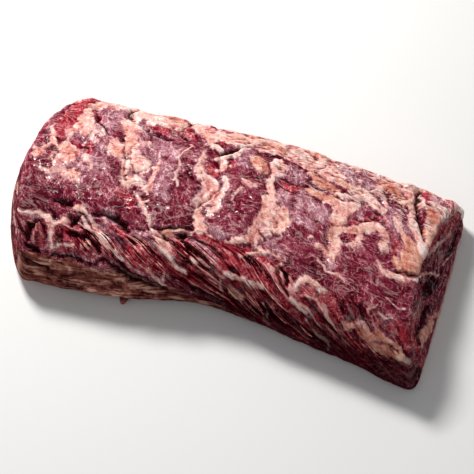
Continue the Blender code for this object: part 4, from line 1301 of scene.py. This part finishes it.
# ---------------------------------------------------------------- shader groups
class Graph:
    """A node tree with short calls for the nodes used here."""

    def __init__(self, tree):
        self.tree = tree

    def node(self, kind, **settings):
        made = self.tree.nodes.new(kind)
        for name, value in settings.items():
            setattr(made, name, value)
        return made

    def feed(self, socket, value):
        if isinstance(value, bpy.types.NodeSocket):
            self.tree.links.new(value, socket)
        elif value is not None:
            socket.default_value = value

    def feed_all(self, sockets, values):
        for name, value in values.items():
            self.feed(sockets[name], value)

    def math(self, operation, a, b=None, c=None):
        made = self.node("ShaderNodeMath", operation=operation)
        for socket, value in zip(made.inputs, (a, b, c)):
            self.feed(socket, value)
        return made.outputs[0]

    def times(self, a, b):
        return self.math("MULTIPLY", a, b)

    def total(self, base, *terms):
        """base plus each value times its weight. A term is (value, weight, middle), and its value
        counts from its middle, which is that of a noise unless the term gives one."""
        for value, weight, *middle in terms:
            offset = -weight * (middle[0] if middle else NOISE_MEAN)
            base = self.math("ADD", self.math("MULTIPLY_ADD", value, weight, offset), base)
        return base

    def remap(self, value, low, high, to_low=0.0, to_high=1.0):
        made = self.node("ShaderNodeMapRange", interpolation_type="SMOOTHSTEP")
        self.feed_all(made.inputs, {"Value": value, "From Min": low, "From Max": high,
                                    "To Min": to_low, "To Max": to_high})
        return made.outputs["Result"]

    def mix(self, share, a, b):
        made = self.node("ShaderNodeMix", data_type="RGBA")
        factor, first, second = made.inputs[0], made.inputs[6], made.inputs[7]
        for socket, value in ((factor, share), (first, a), (second, b)):
            self.feed(socket, value)
        return made.outputs[2]

    def blend(self, share, a, b):
        """The same as mix, for plain numbers."""
        made = self.node("ShaderNodeMix", data_type="FLOAT")
        for socket, value in zip(made.inputs[:1] + made.inputs[2:4], (share, a, b)):
            self.feed(socket, value)
        return made.outputs[0]

    def ramp(self, value, tones):
        made = self.node("ShaderNodeValToRGB")
        spots = made.color_ramp.elements
        for turn, (place, colour) in enumerate(tones):
            spot = spots[turn] if turn < 2 else spots.new(place)
            spot.position = place
            spot.color = colour
        self.feed(made.inputs[0], value)
        return made.outputs[0]

    def mapping(self, vector, scale, turn=0.0):
        made = self.node("ShaderNodeMapping")
        self.feed_all(made.inputs, {"Vector": vector, "Scale": scale, "Rotation": (0.0, 0.0, turn)})
        return made.outputs[0]

    def noise(self, vector, scale=1.0, detail=2.0, roughness=0.5, distortion=0.0):
        made = self.node("ShaderNodeTexNoise")
        self.feed_all(made.inputs, {"Vector": vector, "Scale": scale, "Detail": detail,
                                    "Roughness": roughness, "Distortion": distortion})
        return made.outputs["Fac"]

    def ridge(self, value, width):
        """1 where the value crosses its middle, falling to 0 at the width on both sides."""
        off = self.math("ABSOLUTE", self.math("SUBTRACT", value, NOISE_MEAN))
        return self.remap(off, 0.0, width, 1.0, 0.0)

    def group(self, tree, **inputs):
        made = self.node("ShaderNodeGroup", node_tree=tree)
        self.feed_all(made.inputs, inputs)
        return made.outputs

    def attribute(self, name):
        return self.node("ShaderNodeAttribute", attribute_name=name).outputs["Fac"]


def new_group(name, inputs, outputs):
    """An empty shader group with named sockets. Both are given as socket name to kind, and an
    input's kind may come with its value."""
    tree = bpy.data.node_groups.new(name, "ShaderNodeTree")
    for label, kind in inputs.items():
        kind, *value = kind if isinstance(kind, tuple) else (kind,)
        socket = tree.interface.new_socket(label, in_out="INPUT", socket_type="NodeSocket" + kind)
        if value:
            socket.default_value = value[0]
    for label, kind in outputs.items():
        tree.interface.new_socket(label, in_out="OUTPUT", socket_type="NodeSocket" + kind)
    graph = Graph(tree)
    given = graph.node("NodeGroupInput").outputs
    result = graph.node("NodeGroupOutput").inputs
    return tree, graph, given, result


def ragged_mask_group():
    """Turn a distance inside a mark into a mask that is torn along the grain."""
    tree, g, given, result = new_group(
        "ragged_mask",
        {"Inside": "Float", "Place": "Vector", "Grain": ("Float", 0.5), "Tear": ("Float", 20.0),
         "Softness": ("Float", 1.5)},
        {"Mask": "Float"})
    coarse = g.noise(given["Place"], scale=80.0, detail=3.0, roughness=0.55, distortion=0.8)
    fine = g.noise(given["Place"], scale=300.0, detail=2.0, roughness=0.6, distortion=0.6)
    uneven = g.total(0.0, (coarse, 0.42), (fine, 0.24), (given["Grain"], 0.55))
    torn = g.math("MULTIPLY_ADD", uneven, given["Tear"], given["Inside"])
    low = g.times(given["Softness"], -1.0)
    g.feed(result["Mask"], g.remap(torn, low, given["Softness"]))
    return tree


def fibre_group():
    """Muscle fibre: fine streaks that run in one direction over the surface."""
    tree, g, given, result = new_group(
        "muscle_fibre",
        {"Chart": "Vector", "Turn": "Float", "Length": ("Float", 1.0)},
        {"Streak": "Float", "Thread": "Float", "Height": "Float"})
    turned = g.node("ShaderNodeVectorRotate", rotation_type="Z_AXIS")
    g.feed_all(turned.inputs, {"Vector": given["Chart"], "Angle": given["Turn"]})
    squeeze = g.node("ShaderNodeCombineXYZ")
    g.feed_all(squeeze.inputs, {"X": g.math("DIVIDE", 1.0, given["Length"]), "Y": 1.0})
    along_grain = g.node("ShaderNodeVectorMath", operation="MULTIPLY")
    g.feed(along_grain.inputs[0], turned.outputs[0])
    g.feed(along_grain.inputs[1], squeeze.outputs[0])
    grain = along_grain.outputs[0]
    streak = g.noise(g.mapping(grain, (60.0, 170.0, 1.0)), detail=2.5, distortion=0.8)
    lines = g.noise(g.mapping(grain, (45.0, 150.0, 1.0)), detail=3.0, distortion=0.7)
    thread = g.ridge(lines, 0.032)
    height = g.math("MULTIPLY_ADD", thread, 0.12, streak)
    g.feed_all(result, {"Streak": streak, "Thread": thread, "Height": height})
    return tree


def crease_group():
    """Creased film: thin winding dark lines of painted shade with pale crests of painted highlight between
    them, in patches.
    """
    tree, g, given, result = new_group(
        "film_creases",
        {"Chart": "Vector", "Place": "Vector", "Count": ("Float", 7.5)},
        {"Line": "Float", "Crest": "Float", "Height": "Float"})
    stretched = g.mapping(given["Chart"], (26.0, 58.0, 1.0), turn=0.2)
    field = g.noise(stretched, detail=3.5, distortion=0.8)
    across = g.math("PINGPONG", g.times(field, given["Count"]), 0.5)
    patch = g.remap(g.noise(given["Place"], scale=50.0, detail=2.0, roughness=0.6), 0.36, 0.54)
    g.feed_all(result, {"Line": g.times(g.remap(across, 0.02, 0.13, 1.0, 0.0), patch),
                        "Crest": g.times(g.remap(across, 0.36, 0.46), patch),
                        "Height": across})
    return tree


def vein_group():
    """A net of thin lines that comes and goes over the surface."""
    tree, g, given, result = new_group(
        "fine_veins",
        {"Place": "Vector", "Scale": ("Float", 90.0), "Width": ("Float", 0.03)},
        {"Mask": "Float"})
    field = g.noise(given["Place"], scale=given["Scale"], detail=3.0, roughness=0.6, distortion=1.0)
    patch = g.remap(g.noise(given["Place"], scale=45.0, detail=3.0, roughness=0.6), 0.44, 0.6)
    g.feed(result["Mask"], g.times(g.ridge(field, given["Width"]), patch))
    return tree


def fat_group(veins):
    """Cream to pink and tan fat with faint red threads."""
    tree, g, given, result = new_group(
        "fat_tones",
        {"Place": "Vector", "Warmth": ("Float", 0.5), "Hollow": "Float", "Grain": ("Float", 0.5)},
        {"Color": "Color"})
    place = given["Place"]
    blotch = g.noise(place, scale=70.0, detail=3.0)
    fine = g.noise(place, scale=260.0, detail=2.0, distortion=1.0)
    wisps = g.ridge(g.noise(place, scale=90.0, detail=3.0, roughness=0.55, distortion=1.6), 0.035)
    # The hollow term paints shade into hollows and light onto crests.
    tone = g.total(0.54, (blotch, 1.15), (fine, 0.8), (given["Grain"], 0.8), (wisps, 0.3, 0.25),
                   (given["Hollow"], -0.32, 0.0))
    warm = g.total(given["Warmth"], (g.noise(place, scale=36.0, detail=3.0, roughness=0.6), 1.8))
    colour = g.mix(g.remap(warm, 0.3, 1.0), g.ramp(tone, FAT_TONES), g.ramp(tone, TAN_TONES))
    cool = g.remap(g.noise(place, scale=52.0, detail=3.0, roughness=0.6), 0.54, 0.68, 0.0, 0.6)
    colour = g.mix(cool, colour, g.ramp(tone, FILM_TONES))
    threads = g.group(veins, Place=place, Scale=140.0, Width=0.024)["Mask"]
    g.feed(result["Color"], g.mix(g.times(threads, 0.75), colour, THREAD_RED))
    return tree


def lean_group():
    """Colours of the lean, of a fresh cut in it and of the film over it. The lean is redder and
    more streaked on the front side."""
    patterns = ("Blotch", "Streak", "Thread", "Fine", "Wisps", "Hollow", "Front")
    tree, g, given, result = new_group(
        "lean_tones",
        {label: "Float" for label in patterns},
        {"Lean": "Color", "Fresh": "Color", "Film": "Color"})
    blotch, streak, thread, fine, wisps, hollow, front = (given[label] for label in patterns)
    # The hollow terms paint shade into hollows and light onto crests.
    tone = g.total(0.42, (blotch, 0.85), (streak, 0.3), (fine, 0.36), (thread, 0.2, LINE_MEAN),
                   (wisps, 0.32, LINE_MEAN), (hollow, -0.25, 0.0))
    flank = g.total(0.4, (blotch, 1.6), (streak, 1.7), (thread, 0.75, LINE_MEAN), (fine, 0.6),
                    (hollow, -0.34, 0.0))
    fresh = g.total(0.44, (streak, 1.2), (fine, 0.6), (wisps, 0.4, LINE_MEAN), (hollow, -0.25, 0.0))
    film = g.total(0.45, (streak, 0.8), (thread, 0.4, LINE_MEAN), (wisps, 0.4, LINE_MEAN), (fine, 0.5),
                   (blotch, 0.6))
    g.feed_all(result, {"Lean": g.mix(front, g.ramp(tone, LEAN_TONES), g.ramp(flank, FLANK_TONES)),
                        "Fresh": g.ramp(fresh, FRESH_TONES),
                        "Film": g.ramp(film, FILM_TONES)})
    return tree


def shade_group():
    """Paint shade over a colour: in hollows, in crevices and where the flesh lies in shade."""
    tree, g, given, result = new_group(
        "flesh_shade",
        {"Color": "Color", "Hollow": "Float", "Crevice": "Float", "Shade": "Float", "Fat": "Float",
         "Fine": "Float", "Blotch": "Float"},
        {"Color": "Color"})
    # Painted shade in the hollows.
    colour = g.mix(g.remap(given["Hollow"], 0.1, 1.0, 0.0, 0.6), given["Color"], PAINTED_RECESS_SHADE)
    # Painted shade along the crevices.
    painted_crevice_shade = g.total(given["Crevice"], (given["Fine"], 1.4), (given["Blotch"], 1.0))
    colour = g.mix(g.remap(painted_crevice_shade, 0.25, 0.95, 0.0, 0.9), colour, PAINTED_RECESS_SHADE)
    shade = g.times(given["Shade"], g.math("MULTIPLY_ADD", given["Fat"], -0.3, 0.85))
    g.feed(result["Color"], g.mix(shade, colour, SHADE_BROWN))
    return tree


def moisture_group():
    """Wet sheen that breaks into small glints, and the fine bump that carries them."""
    tree, g, given, result = new_group(
        "moisture",
        {"Place": "Vector", "Dry": ("Float", 0.5), "Wet": ("Float", 0.2)},
        {"Roughness": "Float", "Coat": "Float", "Height": "Float"})
    place = given["Place"]
    patch = g.noise(place, scale=160.0, detail=3.0, roughness=0.6)
    drops = g.noise(place, scale=300.0, detail=2.0, roughness=0.6)
    beads = g.noise(place, scale=520.0, detail=1.0)
    pores = g.noise(place, scale=240.0, detail=2.0)
    g.feed_all(result, {"Roughness": g.remap(patch, 0.35, 0.65, given["Wet"], given["Dry"]),
                        "Coat": g.remap(drops, 0.55, 0.64, 0.0, 0.7),
                        "Height": g.math("MULTIPLY_ADD", beads, 0.5, pores)})
    return tree


def make_groups():
    groups = {"ragged": ragged_mask_group(), "fibre": fibre_group(), "veins": vein_group(),
              "moisture": moisture_group(), "lean": lean_group(), "shade": shade_group(),
              "creases": crease_group()}
    groups["fat"] = fat_group(groups["veins"])
    return groups


# ---------------------------------------------------------------- materials
def new_material(name):
    material = bpy.data.materials.new(name)
    material.use_nodes = True
    material.node_tree.nodes.clear()
    graph = Graph(material.node_tree)
    shader = graph.node("ShaderNodeBsdfPrincipled")
    out = graph.node("ShaderNodeOutputMaterial")
    graph.feed(out.inputs["Surface"], shader.outputs[0])
    return material, graph, shader


def finish_material(g, shader, colour, roughness, coat, heights, reach):
    """Feed the shader. heights are (value, strength) pairs, laid over each other."""
    g.feed_all(shader.inputs, FLESH_SHADER)
    normal = None
    for value, strength in heights:
        bump = g.node("ShaderNodeBump")
        g.feed_all(bump.inputs, {"Height": value, "Strength": strength, "Distance": reach,
                                 "Normal": normal})
        normal = bump.outputs[0]
    g.feed_all(shader.inputs, {"Base Color": colour, "Roughness": roughness, "Coat Weight": coat,
                               "Normal": normal})


def flesh_fields(g, groups):
    """What the flesh is coloured by: its place, grain, fine patterns and creases."""
    place = g.node("ShaderNodeTexCoord").outputs["Object"]
    chart = g.node("ShaderNodeUVMap", uv_map=CHART).outputs[0]
    front = g.attribute("front")
    top = g.group(groups["fibre"], Chart=chart, Turn=FIBRE_TURN, Length=1.0)
    side = g.group(groups["fibre"], Chart=chart, Turn=math.atan(CORD_SLOPE), Length=3.6)
    streak, thread, fibre = (g.blend(front, top[name], side[name]) for name in ("Streak", "Thread", "Height"))
    creases = g.group(groups["creases"], Chart=chart, Place=place)
    creased = g.remap(g.attribute("creased"), 0.0, 0.8, 0.45, 1.0)
    creased = g.math("SUBTRACT", creased, g.times(front, 0.4))
    wisps = g.noise(place, scale=58.0, detail=3.0, roughness=0.55, distortion=1.5)
    return SimpleNamespace(
        place=place, chart=chart, front=front, streak=streak, thread=thread, fibre=fibre,
        blotch=g.noise(place, scale=42.0, detail=3.0, roughness=0.55),
        fine=g.noise(place, scale=180.0, detail=2.5, roughness=0.55, distortion=1.2),
        wisps=g.ridge(wisps, 0.026), hollow=g.attribute("hollow"),
        crests=g.times(creases["Crest"], creased), lines=g.times(creases["Line"], creased),
        folds=g.times(creases["Height"], creased))


def flesh_colour(g, f, groups):
    """Colour of the flesh, laid on from the lean up to the painted glints, and the mask of its fat."""
    def torn(mark):
        tear, softness = EDGES[mark]
        return g.group(groups["ragged"], Inside=g.attribute(mark), Place=f.place, Grain=f.streak,
                       Tear=tear, Softness=softness)["Mask"]

    def cover(under, mask, layer, over):
        return g.mix(g.times(mask, COVER[layer]), under, over)

    tones = g.group(groups["lean"], Blotch=f.blotch, Streak=f.streak, Thread=f.thread, Fine=f.fine,
                    Wisps=f.wisps, Hollow=f.hollow, Front=f.front)
    colour = g.mix(torn("fresh"), tones["Lean"], tones["Fresh"])
    near_fat = g.total(g.attribute("fat"), (f.streak, 10.0), (f.blotch, 16.0), (f.fine, 5.0))
    halo = g.remap(near_fat, -4.0, 3.0)
    film = g.math("MAXIMUM", g.times(torn("silver"), COVER["silver"]), g.times(halo, COVER["halo"]))
    colour = g.mix(film, colour, tones["Film"])

    veins = g.group(groups["veins"], Place=f.place, Scale=85.0, Width=0.022)["Mask"]
    flecks = g.times(g.remap(f.thread, 0.4, 0.9), g.remap(f.fine, 0.54, 0.64))
    colour = cover(colour, veins, "veins", VEIN_PINK)
    colour = cover(colour, flecks, "flecks", VEIN_PINK)

    fat = torn("fat")
    fat_colour = g.group(groups["fat"], Place=f.place, Warmth=g.attribute("warmth"),
                         Hollow=f.hollow, Grain=f.streak)["Color"]
    colour = cover(colour, fat, "fat", fat_colour)
    colour = cover(colour, torn("sinew"), "sinew", fat_colour)
    colour = cover(colour, torn("bare"), "bare", tones["Lean"])
    # Painted highlight on the crests of the creased film, and painted shade in its fold lines.
    colour = cover(colour, f.crests, "crests", PAINTED_CREASE_HIGHLIGHT)
    colour = cover(colour, f.lines, "lines", PAINTED_CREASE_SHADE)
    # Small pale specks painted in as glints.
    glints = g.remap(g.noise(f.place, scale=440.0, detail=1.0), 0.7, 0.78)
    return cover(colour, glints, "glints", PAINTED_GLINT), fat


def membrane_over(g, f, colour):
    """Lay the brown folded membrane of the cap's front edge over the colour. Gives its folds too."""
    folds = g.noise(g.mapping(f.chart, (22.0, 170.0, 1.0), turn=0.12), detail=5.0, roughness=0.65,
                    distortion=1.1)
    mottle = g.noise(f.place, scale=60.0, detail=4.0, roughness=0.65)
    # The hollow term paints shade into hollows and light onto crests.
    tone = g.total(0.42, (folds, 2.6), (mottle, 2.4), (g.ridge(folds, 0.04), -0.35, 0.3),
                   (f.hollow, -0.3, 0.0))
    return g.mix(g.attribute("membrane"), colour, g.ramp(tone, MEMBRANE_TONES)), folds


def flesh_material(name, groups, has_membrane):
    """Lean with its film, marbling, fat and sinews. The fat cap has a membrane over it in front."""
    material, g, shader = new_material(name)
    f = flesh_fields(g, groups)
    colour, fat = flesh_colour(g, f, groups)
    wet = g.group(groups["moisture"], Place=f.place, **FLESH_ROUGHNESS)
    heights = [(f.fibre, FIBRE_BUMP), (f.folds, FILM_BUMP), (wet["Height"], WET_BUMP)]
    if has_membrane:
        colour, folds = membrane_over(g, f, colour)
        heights.append((folds, MEMBRANE_BUMP))
    shade = g.attribute("shade")
    colour = g.group(groups["shade"], Color=colour, Hollow=f.hollow, Crevice=g.attribute("crevice"),
                     Shade=shade, Fat=fat, Fine=f.fine, Blotch=f.blotch)["Color"]
    coat = g.times(wet["Coat"], g.remap(shade, 0.0, 0.6, 1.0, 0.05))
    finish_material(g, shader, colour, wet["Roughness"], coat, heights, FLESH_BUMP_HEIGHT)
    return material


def strand_material(name, groups, kind):
    """Meat or sinew of loose strands, mottled along their length."""
    tones, middle = STRAND_TONES[kind]
    material, g, shader = new_material(name)
    place = g.node("ShaderNodeTexCoord").outputs["Object"]
    blotch = g.noise(place, scale=40.0, detail=3.0, roughness=0.6)
    fine = g.noise(place, scale=300.0, detail=3.0, roughness=0.6)
    colour = g.ramp(g.total(middle, (blotch, 1.6), (fine, 1.2)), tones)
    wet = g.group(groups["moisture"], Place=place, **STRAND_ROUGHNESS)
    heights = [(wet["Height"], STRAND_BUMP)]
    finish_material(g, shader, colour, wet["Roughness"], wet["Coat"], heights, STRAND_BUMP_HEIGHT)
    return material


# ---------------------------------------------------------------- floor, camera and light
def make_floor():
    bm = bmesh.new()
    bmesh.ops.create_grid(bm, x_segments=1, y_segments=1, size=FLOOR_SIZE / 2)
    mesh = bpy.data.meshes.new("floor")
    bm.to_mesh(mesh)
    bm.free()
    floor = add_object("floor", mesh)
    material, g, shader = new_material("pale_floor")
    g.feed_all(shader.inputs, {"Base Color": (FLOOR_GREY, FLOOR_GREY, FLOOR_GREY, 1.0),
                               "Roughness": FLOOR_ROUGHNESS})
    mesh.materials.append(material)


def towards(azimuth, elevation):
    """Unit vector from the object towards a viewer. Azimuth 0 looks along +Y."""
    a, e = math.radians(azimuth), math.radians(elevation)
    return Vector((math.sin(a) * math.cos(e), -math.cos(a) * math.cos(e), math.sin(e)))


def make_camera():
    data = bpy.data.cameras.new("camera")
    data.sensor_width = SENSOR
    data.lens = CAMERA_FOCUS_PIXELS / IMAGE_PIXELS * SENSOR
    data.clip_end = CAMERA_REACH
    camera = add_object("camera", data)
    back = towards(CAMERA_AZIMUTH, CAMERA_ELEVATION)
    camera.location = (Vector(CAMERA_TARGET) + back * CAMERA_DISTANCE) * MM
    camera.rotation_euler = back.to_track_quat("Z", "Y").to_euler()
    bpy.context.scene.camera = camera


def make_light(name, azimuth, elevation, distance, size, power, colour):
    data = bpy.data.lights.new(name, "AREA")
    data.shape = "SQUARE"
    data.size = size
    data.energy = power
    data.color = colour
    light = add_object(name, data)
    back = towards(azimuth, elevation)
    light.location = back * distance
    light.rotation_euler = back.to_track_quat("Z", "Y").to_euler()


def make_world():
    world = bpy.data.worlds.new("studio")
    world.use_nodes = True
    sky = world.node_tree.nodes["Background"]
    sky.inputs["Color"].default_value = (1.0, 1.0, 1.0, 1.0)
    sky.inputs["Strength"].default_value = WORLD_STRENGTH
    bpy.context.scene.world = world
    bpy.context.scene.view_settings.view_transform = "Standard"


def finish_piece(piece, material, node=None):
    piece.data.materials.clear()
    piece.data.materials.append(material)
    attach(piece, "root")
    if node:
        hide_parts(node)


# ---------------------------------------------------------------- making
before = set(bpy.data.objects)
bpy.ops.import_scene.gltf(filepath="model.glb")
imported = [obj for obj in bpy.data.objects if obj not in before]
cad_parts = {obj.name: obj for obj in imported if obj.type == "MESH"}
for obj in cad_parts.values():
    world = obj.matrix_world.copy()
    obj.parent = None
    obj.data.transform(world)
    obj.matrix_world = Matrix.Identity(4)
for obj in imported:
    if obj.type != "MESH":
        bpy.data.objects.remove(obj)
cad_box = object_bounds()

groups = make_groups()
lean = cut_by_core(make_whole(LEAN_CELLS, cad_box), make_core("lean_core", 0.0), "INTERSECT", "lean_meat")
cap = cut_by_core(make_whole(CAP_CELLS, cad_box), make_core("cap_core", CAP_GAP), "DIFFERENCE", "fat_layer")
mark_flesh(lean.data, is_cap=False)
mark_flesh(cap.data, is_cap=True)
finish_piece(lean, flesh_material("raw_lean", groups, has_membrane=False), "lean")
finish_piece(cap, flesh_material("beef_fat", groups, has_membrane=True), "fat_cap")
for kind, strands in make_strands().items():
    material = strand_material("strands_" + kind, groups, kind)
    finish_piece(strands, material)

make_floor()
make_camera()
make_light("key", *KEY_LIGHT)
make_light("fill", *FILL_LIGHT)
make_world()
